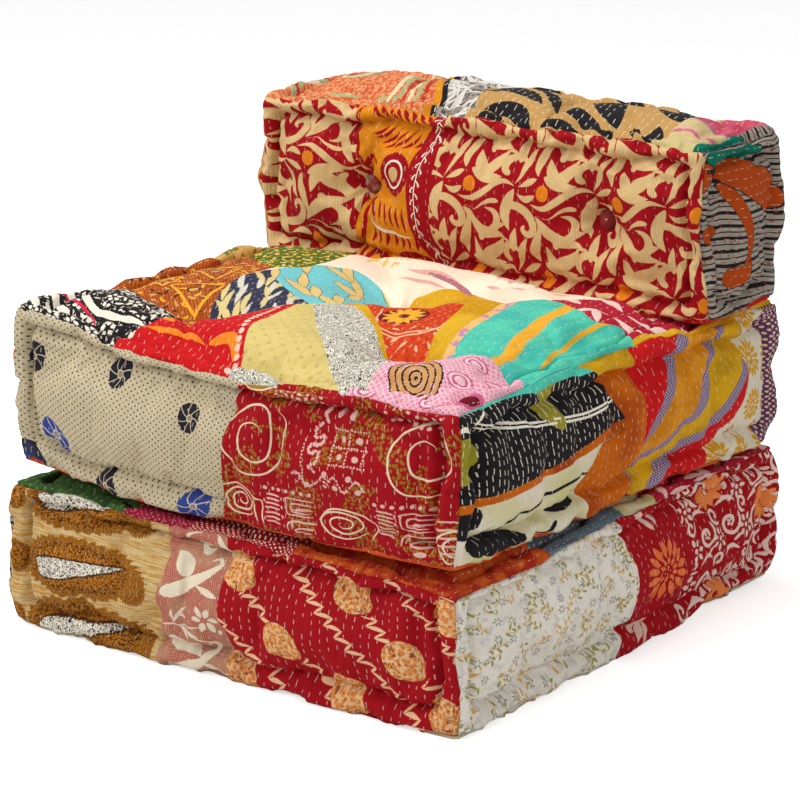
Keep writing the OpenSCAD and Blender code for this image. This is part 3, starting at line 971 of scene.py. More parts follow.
def fabricMaterial(name):
    known = bpy.data.materials.get(name)
    if known:
        return known
    spec = fabrics[name]
    maker = Maker(name)
    u, v = maker.cloth()
    place = maker.point(u, v)
    ground = spec["ground"]
    colour = ground(maker, u, v, place) if callable(ground) else ground
    bleed = (maker.noise(place, 0.45, 1.0) - 0.5) * spec.get("bleed", 0.22)
    if spec.get("inks"):
        stops = [(k / inkSlots["inks"], ink) for k, ink in enumerate(spec["inks"])]
        for slot in ("inkUnder", "inkTop"):
            inside, number, p, q = inkMask(maker, slot, spec)
            inside = inside + bleed
            ink = maker.node("ValToRGB", dict(stops=stops, steps="CONSTANT"), {0: number})
            if spec.get("figure"):
                ink = spec["figure"](maker, ink, number, p, q, place, inside)
            if spec.get("outline"):
                edge, share = spec["outline"]
                ink = maker.mix(inside < share, ink, edge)
            colour = maker.mix(inside > 0, colour, ink)
    rib = maker.noise(maker.point(u * 0.12, v), weaving["threads"], 1.0)
    weft = maker.noise(maker.point(u, v * 0.12), weaving["threads"], 1.0)
    wear = maker.noise(place, 0.012, 3.0)
    # Thread tone follows the threads' height: partly the yarn's slubs, partly painted shade where the threads
    # lie low; shade also carries the random fading
    weave = (rib + weft - 1) * (weaving["slub"] * 4 * spec.get("slub", 1))
    shade = weave + (wear - 0.5) * weaving["fade"] * 2 + 1
    colour = maker.mix(1.0, colour, maker.point(shade, shade, shade), "MULTIPLY")
    how = {**quilting, **spec.get("thread", {})}
    height = (rib + weft) * 0.12
    if how["shown"] > 0:
        across, along = (v, u) if how.get("level") else (u, v)
        thread, dip = runningStitches(maker, across, along, how)
        colour = maker.mix(thread * how["shown"], colour, how["colour"])
        height = height + dip * how["pucker"] + thread * how["lift"]
    height = height + maker.noise(place, 0.055, 3.0, 0.6) * weaving["creases"]
    bump = maker.node("Bump", {}, {"Height": height, "Distance": 0.001, "Strength": 1.0})
    maker.shader.inputs["Specular IOR Level"].default_value = 0.15
    return maker.dress(colour, bump, 0.86)


# Figures drawn in millimetres on the cloth
def leaf(x, y, angle, length, width, bend=0.0, **more):
    way = np.array([math.cos(math.radians(angle)), math.sin(math.radians(angle))])
    side = np.array([-way[1], way[0]])
    start = np.array([x, y])
    return stroke([start, start + way * length / 2 + side * bend, start + way * length], width, **more)


def disc(x, y, wide, high=None, angle=0, **more):
    high = high or wide
    way = np.array([math.cos(math.radians(angle)), math.sin(math.radians(angle))]) * wide
    centre = np.array([x, y])
    return stroke([centre - way, centre + way], high, shape="round", **more)


def lineOf(points, width, **more):
    return stroke(points, width, shape="line", **more)


def spiral(x, y, radius, turns, width, squash=1.0, start=0.0, **more):
    angles = np.linspace(0, turns * 2 * math.pi, int(turns * 9) + 1)
    points = [(x + radius * (0.12 + 0.88 * a / angles[-1]) * math.cos(a + start),
               y + radius * (0.12 + 0.88 * a / angles[-1]) * math.sin(a + start) * squash) for a in angles]
    return lineOf(points, width, **more)


def petals(x, y, count, inner, outer, width, turn=0.0, squash=1.0, **more):
    made = []
    for k in range(count):
        a = 2 * math.pi * k / count + turn
        made.append(stroke([(x + inner * math.cos(a), y + inner * math.sin(a) * squash),
                            (x + outer * math.cos(a), y + outer * math.sin(a) * squash)], width, **more))
    return made


def nudged(figures, du, dv):
    return [{**spec, "points": [(x + du, y + dv) for x, y in spec["points"]]} for spec in figures]


def tiled(figures, wide, high, low, top, drop=0.0):
    made = []
    for i in range(int(low[0] // wide) - 1, int(top[0] // wide) + 2):
        for j in range(int(low[1] // high) - 1, int(top[1] // high) + 2):
            shift = np.array([i * wide, j * high + (drop if i % 2 else 0)])
            made += [{**spec, "points": [np.array(p) + shift for p in spec["points"]]} for spec in figures]
    return made


def scattered(rng, low, top, steps, jitter, before=(0, 0), beyond=(0, 0)):
    # Uneven places over a cloth, in rows
    for x in np.arange(low[0] + before[0], top[0] + beyond[0], steps[0]):
        for y in np.arange(low[1] + before[1], top[1] + beyond[1], steps[1]):
            yield x + rng.uniform(-jitter[0], jitter[0]), y + rng.uniform(-jitter[1], jitter[1])


dyes = SimpleNamespace(
    crimson=dye(160, 8, 22), cream=dye(224, 190, 134), orange=dye(228, 128, 24), saffron=dye(220, 134, 16),
    dotCream=dye(200, 184, 152), ink=dye(36, 33, 42), blue=dye(50, 68, 140), teal=dye(84, 202, 172),
    mustard=dye(206, 150, 12), orangeRed=dye(214, 70, 22), brownOrange=dye(172, 72, 22),
    green=dye(92, 108, 20), olive=dye(152, 142, 40), pink=dye(242, 188, 200), black=dye(27, 24, 27),
    offWhite=dye(222, 211, 190), purple=dye(112, 90, 122), rust=dye(172, 66, 10), tealGreen=dye(0, 104, 84),
    grey=dye(158, 148, 132), navy=dye(48, 50, 72), white=dye(240, 232, 214), tan=dye(206, 160, 88),
    ochre=dye(160, 100, 20), darkBrown=dye(74, 40, 14), red=dye(200, 20, 24),
    lilac=dye(200, 140, 176), natural=dye(206, 192, 160), maroon=dye(112, 12, 28),
    peach=dye(232, 184, 142), gold=dye(240, 172, 44), skyTan=dye(222, 194, 124),
    leafGreen=dye(62, 104, 46), magenta=dye(156, 24, 56),
)


def mottled(base, other, scale, low, high, detail=2.0):
    def paint(maker, u, v, place):
        share = maker.noise(place, scale, detail).between(low, high)
        return maker.mix(share, base, other)
    return paint


def wormed(base, lines, pitch, wander):
    def paint(maker, u, v, place):
        wave = (u + v * 0.4 + maker.noise(place, 0.11, 1.0) * wander) * (2 * math.pi / pitch)
        cross = (v + maker.noise(place, 0.13, 1.0) * wander) * (2 * math.pi / (pitch * 2.4))
        return maker.mix((wave.sine() > 0.1) * (cross.sine() > -0.75), base, lines)
    return paint


def dotted(base, dots, apartU, apartV, radius, ring=0.0):
    def paint(maker, u, v, place):
        colour = base
        for shift in (0.0, 0.5):
            a = ((u / apartU + shift).fraction() - 0.5) * apartU
            b = ((v / apartV + shift).fraction() - 0.5) * apartV
            away = (a * a + b * b).root()
            mask = away < radius
            if ring:
                mask = mask * (away > ring)
            colour = maker.mix(mask, colour, dots)
        return colour
    return paint


def ribboned(maker, u, v, place):
    y = v + maker.noise(place, 0.02, 1.0) * 8
    colour = dye(214, 176, 146)
    for at, wide, tint in ((0.15, 0.1, dye(204, 188, 126)), (0.42, 0.06, dye(150, 138, 132)),
                           (0.66, 0.12, dye(202, 186, 124)), (0.88, 0.04, dye(196, 110, 118))):
        colour = maker.mix(abs((y / 72).fraction() - at) < wide, colour, tint)
    return colour


def hatched(maker, u, v, place):
    blocks = (u * 0.075).sine() * (v * 0.06).sine() > 0
    lines = ((u + v) * 1.1).sine() + blocks * 0.65 > 0.75
    colour = maker.mix(maker.noise(place, 0.03, 1.0) * 0.7, dyes.brownOrange, dye(150, 60, 22))
    return maker.mix(lines * 0.45, colour, dye(210, 134, 44))


def threadLines(maker, ink, number, p, q, place, inside):
    u, v = maker.cloth()
    drift = maker.noise(maker.point(u * 0.3, v * 0.06), 0.3, 1.0)
    lines = ((u * (2 * math.pi / 3.1) + drift * 5).sine() > 0.35) * (drift * 0.9)
    return maker.mix(lines * (number < 1 / inkSlots["inks"]) * 0.6, ink, dye(168, 126, 74))


def pinwheel(maker, ink, number, p, q, place, inside):
    r = (p * p + q * q).root()
    angle = maker.arcTangent(q, p)
    ray = abs((angle * (7 / (2 * math.pi)) + r * 0.55).fraction() - 0.5)
    vein = (ray < 0.045 / (r + 0.12)).most(abs(r - 0.22) < 0.05)
    return maker.mix(vein, ink, dyes.dotCream)


def scrollTile(x, y, way, spread):
    # One repeat of the scroll: a dot among slender leaves, two tulips and a curling stem; way is 1 or -1
    shapes = [
        ("round", 0.5, 1, 10.2, [(-9.6, 0), (0, 1), (9.6, 0)]),
        ("leaf", 0.62, 0, 4.2, [(-43, 5), (-26, 11), (-11, 5)]),
        ("leaf", 0.62, 0, 4.4, [(-42, -3), (-26, -9), (-11, -16)]),
        ("leaf", 0.45, 0, 7.6, [(-46, 0), (-55, 17), (-59, 34), (-51, 52)]),
        ("round", 0.35, 0, 5.6,
         [(-56, 21), (-40, 21), (-24, 27), (-14, 38), (-13, 49), (-21, 53), (-29, 47), (-25, 42)]),
        ("leaf", 0.5, 0, 4.8, [(-19, 16), (1, 20), (19, 11), (38, -2), (56, -8), (74, -3)]),
        ("round", 0.86, 0, 3, [(-9, 29), (9, 32), (25, 23), (38, 18), (49, 18)]),
        ("leaf", 0.66, 0, 6.6, [(-11, 29), (-3, 44), (-9, 64), (-14, 78), (-10, 93)]),
        ("leaf", 0.5, 0, 8.2, [(-10, 30), (4, 44), (21, 56), (38, 59), (60, 63)]),
        ("leaf", 0.35, 0, 5.2, [(30, 57), (45, 50), (48, 38), (42, 30), (28, 27)]),
        ("leaf", 0.4, 0, 4.6, [(38, 53), (49, 48), (61, 45)]),
        ("round", 0.6, 0, 5, [(18, 58), (22, 69)]),
        ("leaf", 0.42, 0, 8, [(-1, -19), (19, -13), (36, -11), (52, -13)]),
        ("leaf", 0.38, 0, 7.8, [(22, -14), (10, -26), (4, -44)]),
        ("leaf", 0.42, 0, 9.2, [(12, -17), (30, -25), (44, -33), (55, -46)]),
        ("round", 0.8, 0, 2.6, [(45, -36), (53, -46), (64, -46), (67, -36)]),
        ("round", 0.3, 0, 5, [(-57, -17), (-65, -23), (-63, -34), (-51, -42), (-38, -39), (-33, -29)]),
        ("leaf", 0.6, 0, 4.6, [(-47, -5), (-38, -18), (-33, -33), (-28, -45), (-21, -55)]),
        ("leaf", 0.4, 0, 6.2, [(-46, -34), (-44, -50), (-40, -66)]),
    ]
    return [stroke([(x + a * spread, y + way * b) for a, b in points], wide, ink, shape, belly, ink)
            for shape, belly, ink, wide, points in shapes]


def scrollPrint(low, top):
    # The two lengths of this cloth on the back hang opposite ways up
    figures = scrollTile(96, 30, 1, 1) if low[0] < 50 and top[0] < 200 else scrollTile(26, 29, -1, 0.94)
    return tiled(figures, 112, 112, low, top)


def zigzagPrint(low, top):
    made = []
    for x0 in (130, 218, 306, 421, 494, 587, 670, 760):
        for k in range(-2, 18):
            x, y = x0 + 15 * k, 214 - 13 * k
            if low[0] - 20 < x < top[0] + 20 and low[1] - 20 < y < top[1] + 20:
                made.append(stroke([(x - 13, y + 0.6), (x, y + 1), (x + 14, y - 1)], 2.6, belly=0.5))
                made.append(stroke([(x + 15, y), (x + 8, y - 6), (x + 1, y - 12.6)], 1.9))
    for x, y in ((391, 154), (463, 74), (557, 160), (638, 88), (386, 14), (552, 22), (702, 160), (696, 26)):
        made += [disc(x, y, 29, 24, -38, ink=1, layer=1), disc(x + 14, y - 8, 16, 14, -30, ink=1, layer=1)]
    return made


def mottledDrop(maker, ink, number, p, q, place, inside):
    stems = abs(maker.noise(place, 0.1, 1.0, 0.5, 1.0) - 0.5)
    leaves = maker.cells(place, 0.16, scatter=0.9)
    drop = maker.mix((leaves < 0.42) * 0.85, dye(232, 186, 130), dye(216, 122, 40))
    drop = maker.mix(((inside < 0.06) + (stems < 0.022)) * 0.8, drop, dyes.maroon)
    return maker.mix(number > 1 / inkSlots["inks"], ink, drop)


def slubbed(maker, u, v, place):
    streak = maker.noise(maker.point(u * 0.05, v), 0.5, 2.0)
    return maker.mix((streak - 0.43) * 5, dye(204, 180, 128), dye(190, 136, 58))


def paisleyFill(maker, ink, number, p, q, place, inside):
    leaves = maker.cells(place, 0.33)
    body = maker.mix((leaves - 0.2) * 2.2, dye(190, 118, 26), dye(92, 52, 14))
    body = maker.mix((inside < 0.3) * 0.6, body, dye(140, 90, 22))
    body = maker.mix(abs(inside - 0.42) < 0.035, body, dyes.darkBrown)
    scroll = abs(maker.noise(place, 0.13, 1.0, 0.5, 2.2) - 0.5)
    core = maker.mix((scroll < 0.05).most(maker.cells(place, 0.13) < 0.14), dyes.white, dye(50, 42, 38))
    core = maker.mix(inside < 0.16, core, dyes.darkBrown)
    return maker.mix(number > 1 / inkSlots["inks"], body, core)


def crossHatched(maker, u, v, place):
    lines = ((u * 2.1).sine() > 0.1).most((v * 2.3).sine() > 0.35)
    fade = maker.noise(place, 0.02, 1.0).between(0.4, 0.65) * 0.4
    pale = dye(186, 150, 118)
    share = maker.noise(place, 0.3, 2.0) * 0.36 + fade
    return maker.mix(share, maker.mix(lines, pale, dye(178, 52, 62)), pale)


def mottledCrimson(maker, u, v, place):
    clusters = maker.noise(place, 0.022, 1.0) > 0.53
    blobs = maker.cells(place, 0.19) < 0.36
    return maker.mix(clusters * blobs, dyes.crimson, dye(150, 110, 22))


def sprigPrint(low, top):
    rng = random.Random(5)
    made = []
    for a, b in scattered(rng, low, top, (31, 27), (9, 8), (-10, -10), (10, 10)):
        turn = rng.uniform(0, 360)
        tint = 0 if rng.random() < 0.6 else 1
        way = (math.cos(math.radians(turn)), math.sin(math.radians(turn)))
        made.append(leaf(a, b, turn, 30, 0.8, rng.uniform(-6, 6), ink=1, shape="line"))
        for k in range(5):
            x, y, aim = a + 5.5 * k * way[0], b + 5.5 * k * way[1], turn + (50 if k % 2 else -50)
            made.append(leaf(x, y, aim, rng.uniform(6, 12), 1.7, rng.uniform(-2, 2), ink=tint))
        made += petals(a + 15, b + 13, 6, 1, 7, 1.3, ink=2)
    return made


def lacePrint(low, top):
    rng = random.Random(8)
    made = []
    for a, b in scattered(rng, low, top, (62, 60), (5, 5), (-5, -5), (10, 10)):
        made.append(spiral(a, b, 20, 1.3, 2.5, start=rng.uniform(0, 6)))
        made += petals(a, b, 5, 1, 7, 2.0)
        made.append(spiral(a + 30, b + 20, 13, 1.3, 2.2, start=rng.uniform(0, 6)))
        made += petals(a + 31, b - 12, 7, 6, 18, 3.1, turn=rng.uniform(0, 1))
        made.append(disc(a + 31, b - 12, 3.4))
        made.append(stroke([(a - 22, b + 26), (a - 4, b + 36), (a + 14, b + 28)], 3.0))
        made.append(leaf(a + 2, b - 26, 20, 18, 2.6))
    return made


def leafyPrint(width, length, apart, seed, inks=1, aim=None):
    def draw(low, top):
        rng = random.Random(seed)
        made = []
        for x in np.arange(low[0], top[0] + apart, apart):
            for y in np.arange(low[1], top[1] + apart, apart * 0.9):
                turn = rng.uniform(0, 360) if aim is None else rng.gauss(aim, 14)
                foot = (x + rng.uniform(-4, 4), y + rng.uniform(-4, 4))
                reach = length * rng.uniform(0.7, 1.2)
                made.append(leaf(*foot, turn, reach, width, rng.uniform(-3, 3), ink=rng.randrange(inks)))
        return made
    return draw


def vinePrint(low, top):
    path = curveThrough([
        (293, 232), (293, 200), (292, 183), (284, 170), (279, 150), (276, 128), (275, 108), (276, 83),
        (278, 67), (284, 48), (296, 36), (299, 22), (302, -5)], 0.9)
    line = path[::9]
    made = [lineOf(line, 0.7)]
    for k, (x, y) in enumerate(line[:-1]):
        side = 1 if k % 2 else -1
        curl = [(x, y + 4), (x + side * 4, y + 1), (x + side * 6.5, y - 3), (x + side * 4, y - 4)]
        made.append(stroke(curl, 0.9, shape="round"))
    return made


def starPrint(low, top):
    rng = random.Random(17)
    made = []
    for a, b in scattered(rng, low, top, (31, 29), (4, 4), (6, 6), (20, 20)):
        made += petals(a, b, 5, 2.5, 10.5, 2.9, turn=rng.uniform(0, 1))
        made.append(leaf(a + 10, b + 10, rng.uniform(0, 360), 14, 1.9))
    return made


def flowerPrint(low, top):
    made = []
    for a, b in scattered(random.Random(3), low, top, (52, 66), (4, 4), (20, 10), (40, 40)):
        made += petals(a, b, 14, 8, 21, 3.0, squash=1.25) + petals(a, b, 9, 1.5, 10, 2.2, squash=1.25)
        made += petals(a + 26, b + 34, 6, 1, 8, 2.0, ink=1)
    return made


def barredGrey(maker, u, v, place):
    y = v + maker.noise(place, 0.014, 1.0) * 10
    thick = (y / 15).fraction() < 0.27
    thin = abs((y / 15).fraction() - 0.64) < 0.05
    specks = (maker.cells(place, 0.09) < 0.13) * 0.8
    colour = maker.mix(thick.most(thin), dye(158, 148, 134), dyes.black)
    return maker.mix(specks, colour, dye(150, 40, 34))


def ringedDrop(maker, ink, number, p, q, place, inside):
    r = (p * p + q * q).root()
    drop = maker.mix(abs(r - 0.62) < 0.05, dyes.crimson, dyes.white)
    drop = maker.mix(r < 0.34, drop, dye(216, 178, 120))
    return maker.mix(number > 3 / inkSlots["inks"], ink, drop)


fabrics = dict(
    scroll=dict(ground=dyes.crimson, inks=[dyes.cream, dyes.orange], draw=scrollPrint, figure=threadLines,
        bleed=0.1, thread=dict(shown=0.4, length=4, width=0.9)),
    saffronFern=dict(ground=mottled(dyes.saffron, dye(222, 140, 24), 0.02, 0.4, 0.7),
        inks=[dyes.crimson, dyes.white, dyes.gold, dye(216, 178, 120)], figure=ringedDrop),
    vine=dict(ground=dyes.crimson, inks=[dyes.white], draw=vinePrint, thread=dict(shown=0.3)),
    dottedCream=dict(ground=dotted(dyes.dotCream, dye(72, 68, 50), 9.0, 8.0, 1.15),
        inks=[dyes.ink, dyes.blue], figure=pinwheel, bleed=0.3, thread=dict(colour=dye(236, 228, 206),
        shown=0.6, length=4.5, width=0.9)),
    spiralCrimson=dict(ground=mottledCrimson, bleed=0.4, inks=[dye(232, 208, 176), dye(150, 110, 22),
        dye(224, 178, 166), dyes.pink]),
    straw=dict(ground=slubbed, inks=[dyes.ochre, dyes.white], figure=paisleyFill, spikes=(38, 0.2), slub=1.8,
        thread=dict(shown=0.3)),
    pinkHatch=dict(ground=crossHatched, inks=[dye(226, 214, 188)], bleed=0.3,
        thread=dict(shown=0.5, length=4)),
    zigzag=dict(ground=dyes.crimson, inks=[dyes.peach, dye(222, 168, 112)], draw=zigzagPrint,
        figure=mottledDrop, bleed=0.12),
    sprigs=dict(ground=mottled(dye(228, 221, 208), dye(202, 196, 192), 0.09, 0.52, 0.72, 3.0),
        inks=[dye(150, 150, 78), dye(208, 166, 92), dye(154, 152, 144)], draw=sprigPrint,
        thread=dict(shown=0.25)),
    sunburst=dict(ground=dyes.crimson, inks=[dye(228, 112, 56), dyes.crimson, dye(222, 186, 170)]),
    lace=dict(ground=dyes.crimson, inks=[dye(228, 200, 186), dye(228, 132, 66)], draw=lacePrint, bleed=0.6),
    blackStitch=dict(ground=dyes.black, inks=[dyes.white, dyes.olive], bleed=0.1,
        thread=dict(length=6.4, width=1.3, rows=9, period=11.5, shown=0.95)),
    saffron=dict(ground=mottled(dye(198, 98, 6), dye(158, 60, 6), 0.012, 0.46, 0.7), inks=[dyes.rust]),
    oliveLight=dict(ground=mottled(dye(196, 190, 122), dyes.offWhite, 0.008, 0.35, 0.6), inks=[dyes.black]),
    stripeRed=dict(ground=dyes.red),
    stripePurple=dict(ground=dotted(dyes.purple, dye(196, 180, 190), 5.0, 4.6, 1.0), thread=dict(shown=0.2)),
    stripeOrange=dict(ground=mottled(dye(218, 142, 24), dye(198, 122, 16), 0.02, 0.45, 0.7)),
    stripeMustard=dict(ground=mottled(dye(212, 160, 14), dye(190, 142, 14), 0.02, 0.45, 0.7)),
    creamFloral=dict(ground=dye(216, 206, 184), inks=[dyes.mustard, dye(196, 110, 50)], draw=flowerPrint,
        thread=dict(shown=0.4)),
    purpleDots=dict(ground=dotted(dye(96, 52, 96), dye(224, 196, 150), 8.0, 8.0, 1.6)),
    flowersBlack=dict(ground=mottled(dyes.black, dyes.offWhite, 0.2, 0.63, 0.67, 1.0),
        inks=[dyes.white, dye(206, 40, 70), dyes.black], draw=starPrint, bleed=0.3),
    brownTriangles=dict(ground=hatched, inks=[dyes.tan, dyes.darkBrown, dyes.gold],
        draw=leafyPrint(2.0, 13, 14, 4, 3)),
    greenFlowers=dict(ground=mottled(dyes.green, dye(84, 92, 24), 0.1, 0.45, 0.6),
        inks=[dye(222, 184, 74), dye(226, 206, 120)], draw=leafyPrint(2.2, 9, 11, 6, 2)),
    tanLeaf=dict(ground=dyes.tan, inks=[dye(112, 122, 44), dyes.ochre], draw=leafyPrint(5.5, 30, 22, 7, 2)),
    creamFaint=dict(ground=mottled(dye(250, 235, 208), dye(246, 216, 190), 0.01, 0.4, 0.7),
        inks=[dye(226, 166, 158), dye(232, 180, 84), dye(176, 110, 120)],
        thread=dict(shown=0.35, colour=dye(244, 238, 224))),
    crimsonLeaf=dict(ground=dye(178, 30, 52), inks=[dye(240, 206, 196)], draw=leafyPrint(6, 58, 48, 9)),
    tealTan=dict(ground=dye(112, 196, 200), inks=[dyes.skyTan], draw=leafyPrint(8, 96, 46, 12, aim=-48),
        outline=(dye(60, 66, 70), 0.12)),
    navyIkat=dict(ground=dyes.navy, inks=[dye(222, 202, 134), dye(216, 208, 190)],
        draw=leafyPrint(4.4, 64, 30, 15, 2, aim=-58), bleed=0.9),
    navyBand=dict(ground=mottled(dye(34, 32, 44), dye(50, 52, 80), 0.04, 0.4, 0.6)),
    blueBand=dict(ground=mottled(dye(52, 68, 136), dye(40, 50, 110), 0.04, 0.4, 0.6)),
    mustard=dict(ground=mottled(dyes.mustard, dye(226, 176, 30), 0.01, 0.4, 0.6)),
    orangeRed=dict(ground=mottled(dyes.orangeRed, dye(196, 52, 26), 0.14, 0.48, 0.6),
        inks=[dyes.gold, dyes.maroon, dyes.peach]),
    lilacBand=dict(ground=mottled(dye(238, 188, 118), dyes.lilac, 0.06, 0.54, 0.58), thread=dict(shown=0.3)),
    tealStripe=dict(ground=mottled(dyes.teal, dye(70, 188, 170), 0.02, 0.4, 0.6),
        inks=[dyes.gold, dyes.lilac], bleed=1.2),
    redBlotch=dict(ground=dyes.red, inks=[dye(236, 134, 32), dye(240, 200, 180), dyes.gold]),
    paleDotted=dict(ground=dotted(dye(216, 194, 118), dye(176, 160, 90), 23.0, 19.0, 2.3, 1.2)),
    leafGreen=dict(ground=mottled(dyes.leafGreen, dye(48, 84, 40), 0.05, 0.4, 0.6)),
    magenta=dict(ground=dotted(dyes.magenta, dye(196, 120, 130), 9.0, 8.0, 1.2)),
    redDots=dict(ground=dotted(dyes.crimson, dyes.white, 8.0, 7.0, 1.3)),
    emberRed=dict(ground=mottled(dye(206, 92, 30), dye(172, 40, 20), 0.04, 0.42, 0.6, 3.0)),
    tealPurple=dict(ground=dotted(dye(70, 132, 122), dye(120, 84, 128), 11.0, 9.0, 2.6)),
    squiggle=dict(ground=wormed(dye(232, 226, 208), dye(44, 42, 44), 4.2, 30), thread=dict(shown=0.15)),
    pinkRings=dict(ground=dotted(dyes.pink, dye(206, 104, 138), 9.0, 8.0, 1.9, 0.9),
        inks=[dye(206, 150, 92), dyes.black, dye(206, 96, 134), dyes.maroon, dye(246, 206, 214)]),
    orangeSwirl=dict(ground=mottled(dye(204, 92, 48), dye(222, 150, 100), 0.16, 0.44, 0.58, 3.0),
        inks=[dye(166, 174, 122), dye(184, 54, 34), dye(236, 208, 168)], bleed=0.9),
    greyStreak=dict(ground=mottled(dyes.grey, dye(90, 88, 90), 0.12, 0.45, 0.6), inks=[dye(220, 214, 206)],
        draw=leafyPrint(2, 50, 14, 22)),
    tanBlack=dict(ground=dye(192, 148, 86), inks=[dyes.black], bleed=0.12,
        thread=dict(length=6, width=1.2, shown=0.8)),
    paleStripes=dict(ground=ribboned),
    tealGreen=dict(ground=mottled(dyes.tealGreen, dye(0, 90, 78), 0.03, 0.4, 0.6)),
    pinkPlain=dict(ground=mottled(dye(206, 90, 110), dye(190, 70, 96), 0.03, 0.4, 0.6)),
    natural=dict(ground=mottled(dyes.natural, dye(188, 172, 138), 0.02, 0.4, 0.7)),
    orangePlain=dict(ground=mottled(dye(212, 84, 34), dye(190, 64, 28), 0.02, 0.4, 0.7)),
    barred=dict(ground=barredGrey, inks=[dyes.rust, dyes.tealGreen], outline=(dyes.black, 0.1), bleed=0.1,
        thread=dict(level=True, shown=0.5, length=5)),
)


def saffronMarks():
    made = [lineOf([(177, 230), (172, 205), (170, 178), (173, 155), (184, 134), (198, 124)], 3.2),
            lineOf([(200, 100), (184, 84), (177, 66), (174, 46), (171, 28), (164, -5)], 3.0),
            stroke([(187, 76), (195, 67), (211, 61), (235, 57), (264, 58)], 2.4, ink=1, layer=2)]
    for foot, tip in (
            ((217, 200), (194, 184)), ((228, 199), (198, 179)), ((238, 198), (208, 173)),
            ((249, 197), (216, 168)), ((259, 197), (231, 170)), ((269, 196), (245, 171)),
            ((278, 195), (262, 176))):
        middle = ((foot[0] + tip[0]) / 2 + 2, (foot[1] + tip[1]) / 2 - 2)
        made.append(stroke([foot, middle, tip], 2.3, belly=0.55))
    for k in range(8):
        x = 196 + 11.5 * k
        made.append(stroke([(x - 5, 224), (x + 2, 213), (x + 11, 203)], 2.9, belly=0.4))
        made.append(stroke([(x - 3 + 0.3 * k, 97), (x - 1, 84), (x + 3, 68 - 1.1 * k)], 2.4))
        made.append(stroke([(x + 1, 62 - 0.7 * k), (x - 3 + k, 50), (x - 9 + 1.6 * k, 36 + abs(k - 4))], 2.8))
    made += [
        stroke([(205, 123), (220, 133), (240, 137), (257, 131)], 3),
        disc(238, 137, 30, 24, 62, ink=3, layer=1),
        stroke([(203, 117), (214, 123), (232, 133)], 8, belly=0.8),
        stroke([(202, 124), (188, 130), (184, 144), (191, 153), (201, 150), (206, 145)], 3.8,
               shape="round", belly=0.3),
        stroke([(177, 4), (180, 20), (192, 27), (204, 20), (212, 17)], 3.8, shape="round"),
        stroke([(214, 16), (232, 26), (262, 30), (286, 22)], 5)]
    return onPatch("saffronFern", made)


def batik(x, y):
    # A block of pale resist lines: a row of dots over folded and nested lines
    made = [disc(x + 4 + 11.8 * k, y + 53 + 0.5 * k, 3.7, 2.6, 10 * k, ink=2) for k in range(7)]
    for top, rows in ((44, 4), (18, 3)):
        for k in range(rows):
            level = y + top - 6.2 * k
            made.append(lineOf([(x + 4, level), (x + 16, level + 0.8), (x + 29, level - 0.4)], 1.3, ink=2))
            if k:
                turn, bend = (x + 29, 2) if k % 2 else (x + 4, -2)
                fold = [(turn, level + 6.2), (turn + bend, level + 3), (turn, level)]
                made.append(lineOf(fold, 1.2, ink=2))
    for k in range(3):
        a, b = x + 37 + 7.5 * k, y + 45 - 6.6 * k
        nested = [(x + 82 - 2 * k, b + 1), (a + 3, b), (a, b - 4), (a + 1, y + 27 + 2 * k),
                  (a + 5, y + 22 + 4 * k), (x + 78 - 4 * k, y + 23 + 4 * k)]
        made.append(lineOf(nested, 1.05, ink=2))
    made += [
        lineOf([(x + 84, y + 15), (x + 52, y + 14), (x + 40, y + 9), (x + 40, y - 3)], 1.3, ink=2),
        lineOf([(x + 82, y + 8), (x + 60, y + 6), (x + 50, y + 1), (x + 60, y - 1), (x + 78, y + 2)], 1.3,
               ink=2),
        disc(x + 66, y - 8, 9, 3, 10, ink=2), lineOf([(x + 46, y + 17), (x + 48, y + 4)], 1.2, ink=2)]
    return made


def beads(points, apart, size, seed):
    # A broken line of resist spots along a curve
    rng = random.Random(seed)
    path = curveThrough(points, 0.5)
    made = []
    for x, y in path[::int(apart * 2)]:
        place = (x + rng.uniform(-0.7, 0.7), y + rng.uniform(-0.7, 0.7))
        wide, high = size * rng.uniform(0.8, 1.35), size * rng.uniform(0.55, 0.9)
        made.append(disc(*place, wide, high, rng.uniform(0, 180), ink=2))
    return made


